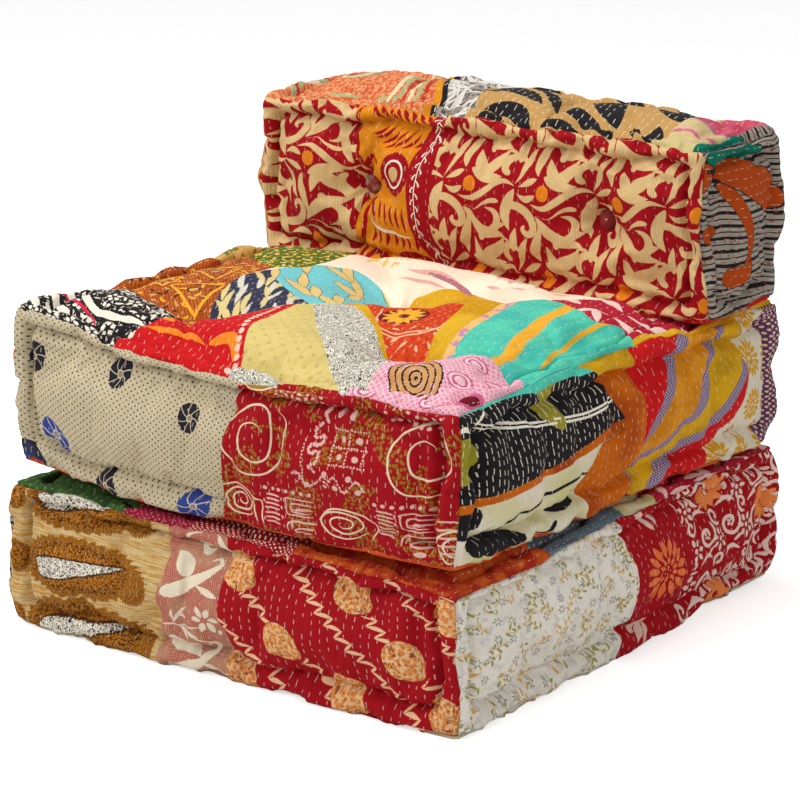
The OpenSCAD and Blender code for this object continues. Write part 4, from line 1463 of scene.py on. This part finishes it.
def spiralMarks():
    made = [
        lineOf([(411, 134), (411, 146), (399, 150), (384, 144), (377, 129), (384, 109), (403, 100),
                (421, 107), (427, 125), (426, 152), (418, 172), (390, 170), (362, 150), (353, 122),
                (360, 98), (378, 82), (405, 82), (428, 92), (445, 118), (448, 140), (444, 160),
                (431, 178)], 1.3),
        lineOf([(663, 151), (662, 160), (650, 163), (634, 156), (629, 142), (636, 123), (655, 118),
                (672, 124), (681, 140), (680, 168), (668, 184), (640, 180), (616, 165), (605, 142),
                (610, 116), (626, 100), (650, 97), (682, 106)], 1.3)]
    for x, y, radius, squash in ((372, 33, 29, 0.72), (540, 38, 40, 0.56), (700, 38, 30, 0.9)):
        made.append(spiral(x, y, radius, 2.6, 1.3, squash, 2.0))
    made += [lineOf([(340, 52), (372, 55), (404, 48), (418, 45)], 1.3), lineOf([(402, 47), (404, 12)], 1.3),
             lineOf([(415, 45), (414, 12)], 1.3),
             lineOf([(502, 36), (520, 56), (548, 60), (574, 52), (588, 40), (578, 16)], 1.3)]
    for k in range(5):
        made.append(lineOf([(674, 70 - 11 * k), (690, 71 - 11 * k), (712, 70 - 11 * k)], 1.5, ink=2))
    for k in range(3):
        made += beads([(524 + 23 * k, 164), (523 + 22 * k, 120)], 4.4, 1.7, k)
        made += beads([(523, 164 - 22 * k), (571, 164 - 21 * k)], 4.4, 1.7, k + 5)
    made += [disc(x, y, 4.4, 3.8, ink=2) for x, y in ((537, 153), (559, 153), (536, 131), (558, 131))]
    made += batik(416, 14) + batik(586, 26)
    made += beads([
        (502, 166), (494, 158), (496, 148), (506, 152), (505, 142), (492, 138), (494, 128), (505, 132),
        (503, 118), (494, 112), (505, 106)], 4.2, 2.8, 21)
    made += beads([
        (467, 98), (478, 99), (488, 84), (502, 90), (518, 104), (517, 88), (532, 104), (546, 87),
        (564, 104), (575, 93)], 4.2, 2.2, 22)
    made += beads([(484, 142), (482, 120), (484, 98), (474, 88)], 4.6, 1.8, 23)
    made += beads([(512, 186), (508, 176), (510, 168)], 3.4, 3.2, 24)
    made += [disc(x, y, 5, 3.6, turn, ink=2) for x, y, turn in (
        (489, 86, 30), (518, 106, 60), (533, 90, 0), (553, 106, 50), (567, 91, 20), (548, 180, 90),
        (528, 180, 40))]
    for k in range(8):
        for j in range(5):
            x, y = 430 + 10 * k, 214 - 6.5 * j
            made.append(lineOf([(x, y), (x + 7, y - 3 + 3 * (k % 2))], 1.9, ink=2))
        made += [disc(596 + 11 * k, 192 + 3 * math.sin(k), 3, 1.8, ink=2),
                 disc(600 + 11 * k, 181 + 2 * math.sin(k), 3.4, 1.9, ink=2)]
    made += [disc(398, 216, 32, 22, ink=1),
             lineOf([(368, 206), (382, 196), (398, 194), (416, 198), (430, 208)], 1.4, layer=1),
             disc(625, 214, 34, 14, ink=3)]
    return onPatch("spiralCrimson", made)


def pinwheelMarks():
    wheels = ((44, 148, 0, 60, 21), (181, 169, 0, 70, 21), (298, 137, 0, 95, 21), (161, 12, 0, 100, 21),
              (78, 54, 1, 120, 26), (300, 16, 1, 20, 25))
    made = [disc(x, y, wide, wide * 0.76, turn, ink=ink) for x, y, ink, turn, wide in wheels]
    return onPatch("dottedCream", made)


def paisleyMarks():
    made = []
    for y in (98, 186, 16):
        made += [stroke([(32, y - 4), (124, y + 3), (252, y + 12)], 42, shape="round", belly=0.38),
                 disc(220, y, 28, 27), disc(16, y - 4, 24, 15, 90),
                 stroke([(54, y - 6), (104, y - 1), (158, y + 9), (220, y + 21)], 15, belly=0.17, ink=1,
                        layer=1)]
    return onPatch("straw", made)


def pinkMarks():
    made = [disc(294, 145, 18, 14, 100),
            stroke([(258, 102), (280, 109), (305, 122), (332, 138), (350, 157), (344, 163), (334, 156)], 9,
                   belly=0.2),
            stroke([(314, 123), (330, 118), (352, 112)], 4.5, belly=0.6),
            lineOf([(247, 51), (280, 60), (319, 66)], 1.1), lineOf([(278, 60), (310, 48), (358, 39)], 1.1),
            stroke([(266, 58), (282, 76), (299, 90)], 2.4), leaf(268, 62, 75, 22, 2.6),
            leaf(282, 74, 8, 18, 2.2), leaf(276, 60, -35, 24, 2.4), leaf(290, 58, -20, 24, 2.2),
            stroke([(259, 36), (282, 34), (312, 26)], 8, belly=0.25),
            stroke([(258, 3), (284, 8), (312, 20), (334, 36), (328, 43), (318, 38)], 8, belly=0.25),
            stroke([(314, 18), (330, 12), (358, 10)], 4), lineOf([(318, 196), (294, 178), (332, 174)], 2.2),
            stroke([(310, 176), (324, 166), (332, 172)], 3),
            stroke([(340, 196), (350, 180), (364, 164)], 3.6), disc(346, 60, 3)]
    made += petals(330, 78, 6, 4, 21, 4.4)
    return onPatch("pinkHatch", nudged(made, 13, 0))


def sunburstMarks():
    made = petals(436, 96, 16, 21, 50, 4.9, turn=0.1, squash=0.9)
    made += petals(436, 96, 11, 9, 22, 3.0, turn=0.3, squash=0.9)
    made += [disc(436 + 5 * math.cos(a), 96 + 5 * math.sin(a), 1.8) for a in (0, 1.26, 2.5, 3.8, 5)]
    made += [leaf(404, 182, -50, 34, 4, ink=2), leaf(426, 186, -70, 26, 4, ink=2),
             leaf(388, 190, -30, 26, 4, ink=2), leaf(384, 16, 30, 40, 5, ink=2),
             leaf(400, 6, 50, 34, 5, ink=2), leaf(372, 30, 10, 30, 4, ink=2)]
    return onPatch("sunburst", made)


def laceMarks():
    made = []
    for x, y in ((568, 172), (590, 14), (694, 122)):
        made += petals(x, y, 11, 5, 32, 5.2, squash=0.85, ink=1, layer=1)
    return onPatch("lace", made)


def blackMarks():
    made = []
    for dy in (0, -5):
        thread = [(24, 188 + dy), (95, 171 + dy), (165, 159 + dy), (268, 147 + dy), (352, 156 + dy)]
        made.append(lineOf(thread, 1.5))
    made += [lineOf([(28, 184), (52, 196), (70, 210)], 1.3),
             stroke([(182, 204), (184, 178), (210, 140)], 15, ink=1, belly=0.4, shape="round"),
             stroke([(206, 192), (196, 196), (182, 182)], 11, ink=1, shape="round"),
             disc(8, 146, 28, 34, 90, ink=1), stroke([(-6, 180), (8, 184), (20, 176)], 3)]
    return onPatch("blackStitch", made)


def oliveMarks():
    return onPatch("oliveLight", [
        lineOf([(60, 36), (112, 44), (168, 60), (222, 70), (290, 68)], 2.6),
        stroke([(198, 34), (230, 32), (268, 38)], 5, shape="round"),
        lineOf([(165, 6), (190, 12), (210, 22)], 2.4), disc(82, 20, 56, 17, -6),
        disc(16, 66, 22, 34, 90, ink=1)])


def rustMarks():
    return onPatch("barred", [
        stroke([(8, 196), (88, 176), (180, 126)], 25, shape="round", belly=0.62),
        stroke([(30, 178), (66, 150), (94, 108), (92, 70)], 9.5, shape="round"),
        stroke([(92, 84), (84, 56), (40, 56)], 15, shape="round", belly=0.6), disc(22, 114, 15, 12),
        stroke([(4, 212), (60, 202), (128, 210)], 15, ink=1, shape="round"), disc(5, 186, 20, 13, 75),
        lineOf([(176, 205), (182, 150), (186, 60), (184, -5)], 2)])


def tanBlackMarks():
    made = []
    for points, wide in (
            ([(296, 96), (335, 100), (375, 90), (412, 66)], 14), ([(362, 124), (395, 112), (438, 66)], 10),
            ([(460, 130), (490, 112), (547, 42)], 21), ([(558, 120), (590, 108), (636, 70)], 18),
            ([(448, 34), (438, 46), (456, 64), (490, 52), (530, 24), (562, -6)], 10),
            ([(332, 34), (372, 44), (405, 24), (440, -8)], 17), ([(450, 6), (480, 14), (522, -6)], 10),
            ([(596, 62), (606, 36), (620, -6)], 11), ([(564, 54), (580, 36), (598, 2)], 6),
            ([(524, 32), (545, 20), (568, -6)], 9), ([(350, 0), (372, 8), (400, -6)], 8),
            ([(298, 92), (304, 84), (314, 76)], 3), ([(322, 172), (360, 166), (394, 148)], 9),
            ([(440, 184), (480, 176), (520, 158)], 10), ([(556, 178), (590, 170), (620, 146)], 10)):
        made.append(stroke(points, wide, belly=0.45))
    return onPatch("tanBlack", made)


def swirlMarks():
    made = []
    for k in range(12):
        made.append(spiral(92, 96, 10 + 11.5 * k, 0.93, 3.9, 0.72, 0.7 + 0.5 * k, ink=(1, 0, 2, 0)[k % 4]))
    for k in range(6):
        streak = [(196 + 10 * k, -4), (186 + 9 * k, 60), (170 + 8 * k, 130), (164 + 7 * k, 196)]
        made.append(stroke(streak, 3.4, ink=(2, 0, 1)[k % 3], layer=1))
    return onPatch("orangeSwirl", made)


def blackFlowerMarks():
    made = [lineOf([(-5, 118), (20, 92), (44, 72), (80, 56), (112, 36)], 2.4, ink=1, layer=3)]
    for points in (
            [(-5, 130), (22, 102), (52, 90), (85, 64), (120, 58), (176, 62)],
            [(-5, 92), (33, 56), (76, 30)], [(-5, 50), (30, 24)]):
        made += [lineOf(points, 5.2, layer=2), lineOf(points, 9.5, ink=2, layer=1)]
    return onPatch("flowersBlack", made)


def medallionMarks():
    made = petals(439, 253, 12, 5, 27, 5, turn=0.4, squash=1.2, layer=1)
    made += [disc(439, 253, 34, 28, 70, ink=1), disc(439, 253, 4, layer=2, ink=1)]
    for shift in (0, -7):
        made.append(lineOf([(398, 262), (441, 201 + shift), (501, 231 + shift), (489, 290)], 1.4, ink=2))
    for k in range(26):
        made.append(leaf(440 + (k * 29) % 84, 150 + (k * 37) % 96, 61 * k, 12, 1.7, 1, ink=2))
    return onPatch("orangeRed", made)


def tealMarks():
    made = [lineOf([(562, 430), (580, 396), (592, 330), (604, 280), (612, 252), (626, 196), (640, 150)], 9),
            lineOf([(640, 422), (634, 370), (644, 300), (660, 220)], 3)]
    return onPatch("tealStripe", made)


def blotchMarks():
    made = [stroke([(196, 112), (218, 142), (246, 172), (292, 216)], 13, belly=0.35),
            stroke([(176, 100), (190, 88), (206, 80)], 7),
            stroke([(170, 64), (208, 60), (244, 66), (280, 54)], 5),
            stroke([(284, 56), (304, 72), (322, 64), (334, 42)], 8, shape="round")]
    for k in range(17):
        made.append(disc(282 + 4.3 * k - 7 * math.sin(k * 0.2), 204 - 12 * k, 5.4, 3.8, -70, ink=1, layer=1))
    return onPatch("redBlotch", made)


def ringMarks():
    made = []
    for k, wide in enumerate((45, 42, 34, 31, 23, 20, 12, 9, 3.5)):
        made.append(disc(592, 66, wide, wide * 0.74, -50, ink=1 - k % 2, layer=k + 1))
    made += [disc(686, 46, 24, 14, 80, ink=2), disc(686, 46, 18, 9, 80, ink=3, layer=1)]
    for x, y in ((640, 90), (670, 128), (628, 140), (560, 12), (650, 20)):
        made += [disc(x, y, 17, 13, 30, ink=2), disc(x, y, 14.5, 10.5, 30, ink=4, layer=1),
                 disc(x, y, 11, 7.5, 30, ink=2, layer=2), disc(x, y, 7.5, 5, 30, ink=4, layer=3)]
    return onPatch("pinkRings", made)


def creamMarks():
    made = [stroke([(330, 452), (380, 440), (440, 400), (486, 366)], 5, ink=2, belly=0.3),
            stroke([(300, 446), (350, 452), (392, 440)], 6, ink=0),
            stroke([(300, 424), (340, 432), (380, 424)], 4, ink=0)]
    for k in range(34):
        made.append(leaf(222 + (k * 19) % 70, 452 + (k * 31) % 44, 40 + 67 * k, 15, 2.4, ink=1))
    for k in range(14):
        made.append(leaf(430 + (k * 23) % 110, 440 + (k * 17) % 60, 97 * k, 26, 4.2, ink=0))
    return onPatch("creamFaint", made)


def triangleMarks():
    made = []
    for x, y, wide in ((131, 200, 46), (95, 282, 44), (70, 218, 30), (150, 300, 30), (40, 330, 34)):
        corners = [(x + wide * 0.5, y + wide), (x - wide * 0.7, y + wide * 0.2),
                   (x + wide * 0.8, y - wide * 0.6)]
        for k in range(3):
            made.append(lineOf([corners[k], corners[k - 1]], 2.0, ink=2, layer=1))
        middle = (x + 5, y + wide * 0.2)
        made += [disc(*middle, 9, 7, 30, ink=1, layer=1), disc(*middle, 6.5, 5, 30, ink=0, layer=2)]
    return onPatch("brownTriangles", made)


def rowsOf(fabricsInRow, length, bow, high):
    # Upright seams at even steps, each a little bowed
    seams, before = [], fabricsInRow[0]
    for k, name in enumerate(fabricsInRow[1:], 1):
        x = length * k / len(fabricsInRow)
        seams.append((before, [(x + bow, high + 5), (x - bow, high / 2), (x + bow * 0.4, -5)], name))
        before = name
    return dict(start=fabricsInRow[0], seams=seams)


layouts = dict(
    seat_front_panel=dict(
        start="dottedCream",
        seams=[
            ("dottedCream", [(374, 210), (352, 100), (340, -5)], "spiralCrimson"),
            ("dottedCream", [(54, -5), (44, 22), (-5, 36)], "navyBand"),
            ("navyBand", [(50, -5), (30, 10), (-5, 16)], "blueBand")],
        marks=pinwheelMarks() + spiralMarks()),
    seat_right_panel=dict(
        start="blackStitch",
        seams=[
            ("blackStitch", [(258, 210), (292, 184), (330, 150), (346, 122), (332, 106), (292, 104),
                (268, 60), (284, -5)], "saffron"),
            ("blackStitch", [(300, 118), (230, 104), (120, 96), (-5, 92)], "saffron.2"),
            ("saffron.2", [(300, 106), (230, 94), (120, 86), (-5, 80)], "oliveLight"),
            ("blackStitch", [(-5, 204), (90, 199), (160, 192), (262, 190)], "tealStripe"),
            ("saffron", [(368, 210), (386, 140), (390, 80), (378, -5)], "stripeRed"),
            ("saffron", [(250, 184), (300, 180), (390, 178)], "stripeMustard.2"),
            ("stripeRed", [(612, 210), (618, 172), (624, 140), (618, 100), (592, 60), (566, 40), (560, -5)],
             "creamFloral"),
            ("creamFloral", [(682, 210), (676, -5)], "purpleDots"),
            ("stripeRed", [(484, 210), (460, 172), (424, 126), (394, 75), (372, 20)], "stripePurple"),
            ("stripePurple", [(504, 210), (482, 172), (443, 126), (412, 88), (380, 56)], "stripeOrange"),
            ("stripeOrange", [(566, 210), (549, 172), (518, 140), (488, 96), (432, 66), (384, 36)],
             "stripePurple.2"),
            ("stripePurple.2", [(584, 210), (566, 172), (543, 140), (510, 96), (443, 58), (384, 26)],
             "stripeMustard"),
            ("stripeMustard", [(650, 170), (621, 146), (588, 112), (543, 78), (488, 50), (430, 20)],
             "stripePurple.3"),
            ("stripePurple.3", [(655, 156), (628, 132), (596, 98), (552, 64), (502, 38), (446, 8)],
             "stripeRed.2")],
        marks=blackMarks() + oliveMarks()),
    seat_top_panel=dict(
        start="creamFaint",
        seams=[
            ("creamFaint", [(164, -5), (168, 50), (182, 92), (198, 126), (196, 150), (160, 240), (150, 290),
                (148, 345), (180, 378), (188, 466), (186, 735)], "brownTriangles"),
            ("brownTriangles", [(215, 108), (160, 140), (120, 150), (70, 144), (-5, 190)], "flowersBlack"),
            ("brownTriangles", [(-5, 381), (65, 386), (160, 344), (215, 330)], "greenFlowers"),
            ("greenFlowers", [(30, 300), (48, 386), (50, 501), (50, 735)], "tanLeaf"),
            ("creamFaint", [(705, 385), (668, 402), (645, 414), (626, 386), (590, 402), (550, 424),
                (514, 402), (496, 374), (444, 402), (400, 422), (368, 420), (348, 398), (336, 372),
                (300, 392), (259, 404), (222, 408), (180, 385), (150, 335)], "mustard"),
            ("creamFaint", [(650, 735), (640, 560), (600, 491), (555, 446), (515, 395)], "crimsonLeaf"),
            ("mustard", [(180, 105), (220, 151), (305, 226), (345, 261), (350, 340), (338, 380), (330, 430)],
             "tealTan"),
            ("tealTan", [(312, 226), (190, 300), (150, 340)], "navyIkat"),
            ("mustard", [(705, 140), (672, 160), (622, 166), (583, 138), (550, 116), (474, 166), (352, 256),
                (290, 224)], "redBlotch"),
            ("redBlotch", [(550, 140), (538, 60), (540, -5)], "pinkRings"),
            ("redBlotch", [(293, 240), (302, 185), (322, 100), (346, 45), (358, -5)], "paleDotted"),
            ("paleDotted", [(300, 244), (385, 150), (468, 66), (540, -8)], "squiggle"),
            ("paleDotted", [(432, -5), (424, 26), (396, 36), (330, 40)], "squiggle.2"),
            ("paleDotted", [(560, 12), (430, 14)], "spiralCrimson"),
            ("mustard", [(498, 384), (530, 250), (574, 100)], "tealStripe"),
            ("tealStripe", [(586, 100), (542, 250), (507, 408)], "lilacBand"),
            ("crimsonLeaf", [(688, 735), (688, 380)], "mustard.4"),
            ("mustard", [(360, 274), (455, 190), (550, 110)], "orangeRed"),
            ("orangeRed", [(466, 345), (553, 110)], "mustard.2"),
            ("orangeRed", [(352, 268), (376, 308), (425, 342), (478, 336)], "mustard.3")],
        marks=(blackFlowerMarks() + medallionMarks() + tealMarks() + blotchMarks() + ringMarks()
               + creamMarks() + triangleMarks())),
    seat_rear_panel=rowsOf(["stripeRed", "purpleDots", "scroll", "mustard"], 700, 14, 205),
    seat_left_panel=rowsOf(["scroll", "tealStripe", "zigzag", "creamFloral", "brownTriangles"], 725, 12, 205),
    seat_bottom_panel=dict(start="orangePlain"),
    base_front_panel=dict(
        start="straw",
        seams=[
            ("straw", [(268, 200), (278, 150), (264, 97), (259, 40), (254, -5)], "pinkHatch"),
            ("pinkHatch", [(364, 200), (372, 160), (367, 110), (366, 70), (369, 38), (366, -5)], "zigzag")],
        marks=paisleyMarks() + pinkMarks()),
    base_right_panel=dict(
        start="sprigs",
        seams=[
            ("sprigs", [(345, 200), (364, 145), (368, 104), (352, 30), (348, -5)], "sunburst"),
            ("sunburst", [(484, 200), (489, 151), (508, 80), (495, 10), (490, -5)], "lace")],
        marks=sunburstMarks() + laceMarks()),
    base_rear_panel=rowsOf(["creamFloral", "scroll", "straw", "purpleDots"], 715, 15, 195),
    base_left_panel=rowsOf(["tealGreen", "lace", "stripeOrange", "sprigs", "barred"], 735, 12, 195),
    base_top_panel=dict(
        start="leafGreen",
        seams=[
            ("leafGreen", [(-5, 190), (400, 180), (720, 196)], "paleDotted"),
            ("leafGreen", [(200, 200), (196, -5)], "magenta"),
            ("magenta", [(312, 200), (304, -5)], "redDots"),
            ("redDots", [(470, 200), (462, -5)], "emberRed"),
            ("paleDotted", [(420, 740), (430, 180)], "tealPurple"),
            ("tealPurple", [(400, 372), (560, 380), (722, 372)], "oliveLight"),
            ("oliveLight", [(400, 452), (560, 444), (722, 450)], "crimsonLeaf")]),
    base_bottom_panel=dict(start="natural"),
    back_front_panel=dict(
        start="scroll",
        seams=[
            ("scroll", [(167, 230), (166, 190), (170, 150), (181, 126), (184, 110), (178, 94), (167, 74),
                (163, 48), (160, -5)], "saffronFern"),
            ("saffronFern", [(284, 230), (277, 200), (270, 178), (263, 150), (261, 112), (264, 70), (272, 40),
                (286, 20), (292, -5)], "vine"),
            ("vine", [(304, 230), (300, 150), (298, 105), (300, 60), (308, -5)], "scroll.2")],
        marks=saffronMarks()),
    back_right_panel=dict(start="barred", marks=rustMarks()),
    back_left_panel=dict(start="tanBlack"),
    back_top_panel=dict(
        start="orangeSwirl",
        seams=[
            ("orangeSwirl", [(180, 195), (208, 130), (248, 50), (262, -5)], "stripeOrange"),
            ("stripeOrange", [(190, 195), (218, 130), (258, 50), (272, -5)], "blackStitch"),
            ("blackStitch", [(198, 195), (226, 130), (266, 50), (280, -5)], "greyStreak"),
            ("greyStreak", [(312, 195), (296, 146), (300, 100), (320, 43), (334, -5)], "tanBlack"),
            ("tanBlack", [(622, 195), (622, 114), (618, 57), (624, -5)], "paleStripes"),
            ("paleStripes", [(606, 98), (660, 100), (710, 94)], "pinkPlain"),
            ("paleStripes", [(680, 195), (680, 110), (682, -5)], "tealGreen"),
            ("pinkPlain", [(688, 195), (690, 90)], "barred"),
            ("tealGreen", [(670, 112), (710, 104)], "barred.2")],
        marks=tanBlackMarks() + swirlMarks()),
    back_rear_panel=rowsOf(["orangeSwirl", "barred", "zigzag", "greenFlowers"], 705, 14, 205),
    back_bottom_panel=dict(start="stripeRed"),
)
for name, layout in layouts.items():
    sewPanel(name, layout)


# Covered buttons: a dome of cloth over a disc, nested where the tuft is drawn in
covering = dict(rise=6.5, rings=14, spokes=48, wrap=0.62, pleat=0.35, pleats=12, sink=1.5)


def buttonDome(radius, seed):
    points, faces = [], []
    rings, spokes = covering["rings"], covering["spokes"]
    for i in range(rings + 1):
        a = math.pi * (i / rings) * covering["wrap"]
        for k in range(spokes):
            turn = 2 * math.pi * k / spokes
            r = radius * math.sin(a)
            fold = covering["pleat"] * math.sin(turn * covering["pleats"] + seed) * smooth((a - 0.5) / 0.8)
            z = covering["rise"] * (math.cos(a) * 1.3 - 0.3)
            points.append(((r + fold) * math.cos(turn), (r + fold) * math.sin(turn), z + fold * 0.5))
    for i in range(rings):
        for k in range(spokes):
            m = (k + 1) % spokes
            faces.append((i * spokes + k, (i + 1) * spokes + k, (i + 1) * spokes + m, i * spokes + m))
    return points, faces


def dressButtons(cushionName, face, colours):
    cushion = cushions[cushionName]
    axis, side, right, rightSign, up, upSign = faceAxes[face]
    radius = cushion["buttonRadius"]
    points, faces, tints = [], [], []
    for number, (u, v) in enumerate(tuftsOn(cushion, face)):
        seat, _ = skin(cushion, face, np.array([u]), np.array([v]))
        dome, domeFaces = buttonDome(radius, number)
        first = len(points)
        for x, y, z in dome:
            place = seat[0].copy()
            place[right] += rightSign * x
            place[up] += upSign * y
            place[axis] += side * (z + covering["sink"])
            points.append(settle(cushion, place + cushion["centre"]) / 1000)
        faces += [tuple(first + k for k in quad) for quad in domeFaces]
        tints += [number % len(colours)] * len(domeFaces)
    mesh = bpy.data.meshes.new(f"{cushionName}_{face}_button_covers")
    mesh.from_pydata(points, [], faces)
    for colour in colours:
        mesh.materials.append(buttonCloth(colour))
    mesh.polygons.foreach_set("material_index", tints)
    mesh.polygons.foreach_set("use_smooth", [True] * len(faces))
    mesh.update()
    covers = bpy.data.objects.new(mesh.name, mesh)
    bpy.context.scene.collection.objects.link(covers)
    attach(covers, cushionName + "_cushion")
    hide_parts(f"{cushionName}_{face}_buttons")


def buttonCloth(name):
    known = bpy.data.materials.get(name)
    if known:
        return known
    low, high = buttonColours[name]
    maker = Maker(name)
    place = maker.node("TexCoord", out="Object")
    flow = maker.node("TexNoise", {}, {"Vector": place, "Scale": 95.0, "Detail": 2.0})
    weave = maker.node("TexNoise", {}, {"Vector": place, "Scale": 900.0, "Detail": 1.0})
    colour = maker.mix((flow - 0.45) * 6, low, high)
    bump = maker.node("Bump", {}, {"Height": weave, "Distance": 0.0004, "Strength": 0.7})
    return maker.dress(colour, bump, 0.8)


buttonColours = dict(
    buttonRed=(dye(118, 10, 20), dye(150, 24, 32)),
    buttonBeige=(dye(140, 30, 34), dye(150, 134, 112)),
    buttonOrange=(dye(206, 84, 34), dye(222, 126, 50)),
)
for cushionName, face, colours in (
        ("back", "front", ["buttonBeige", "buttonRed"]), ("back", "rear", ["buttonRed"]),
        ("seat", "top", ["buttonOrange", "buttonRed"]), ("seat", "bottom", ["buttonOrange"]),
        ("base", "top", ["buttonRed"]), ("base", "bottom", ["buttonOrange"])):
    dressButtons(cushionName, face, colours)
print("buttons are covered")


def cottonMaterial():
    maker = Maker("cotton_wadding")
    place = maker.node("TexCoord", out="Object")
    clumps = maker.node("TexNoise", {}, {"Vector": place, "Scale": 60.0, "Detail": 4.0, "Roughness": 0.65})
    # The wadding is painted darker in the hollows between its clumps, where the bump is low: painted shade
    colour = maker.mix((clumps - 0.35) * 2.5, dye(206, 198, 180), dye(238, 233, 222))
    bump = maker.node("Bump", {}, {"Height": clumps, "Distance": 0.004, "Strength": 0.8})
    return maker.dress(colour, bump, 0.95)


def twineMaterial():
    maker = Maker("waxed_twine")
    parts = maker.node("SeparateXYZ", {}, {0: maker.node("TexCoord", out="Object")})
    lay = ((parts.out("X") + parts.out("Y") + parts.out("Z")) * 2600).sine()
    # The twine is painted darker in the grooves of its twist, where the bump is low: painted shade
    colour = maker.mix(lay * 0.5 + 0.5, dye(196, 180, 146), dye(230, 220, 194))
    bump = maker.node("Bump", {}, {"Height": lay, "Distance": 0.0003, "Strength": 0.8})
    return maker.dress(colour, bump, 0.6)


cotton, twine = cottonMaterial(), twineMaterial()
for name, cushion in cushions.items():
    cushion["wadding"].data.materials.append(cotton)
    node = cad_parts[name + "_tuft_twine"]
    node.data.materials.clear()
    node.data.materials.append(twine)
print("fillings and twine have their materials")


def layFloor(colour):
    mesh = bpy.data.meshes.new("floor")
    half = 14
    corners = [(-half, -half, 0), (half, -half, 0), (half, half, 0), (-half, half, 0)]
    mesh.from_pydata(corners, [], [(0, 1, 2, 3)])
    floor = bpy.data.objects.new("floor", mesh)
    floor.location.z = -0.0006
    bpy.context.scene.collection.objects.link(floor)
    maker = Maker("studio_floor")
    maker.shader.inputs["Base Color"].default_value = (*colour, 1)
    maker.shader.inputs["Roughness"].default_value = 0.9
    seen = maker.node("LightPath", out="Is Camera Ray")
    glow = maker.node("MixRGB", {}, {0: seen, 1: (0, 0, 0, 1), 2: (studio["floorGlow"],) * 3 + (1,)})
    maker.tree.links.new(glow.socket, maker.shader.inputs["Emission Color"])
    maker.shader.inputs["Emission Strength"].default_value = 1.0
    mesh.materials.append(maker.material)


layFloor(studio["floorColour"])
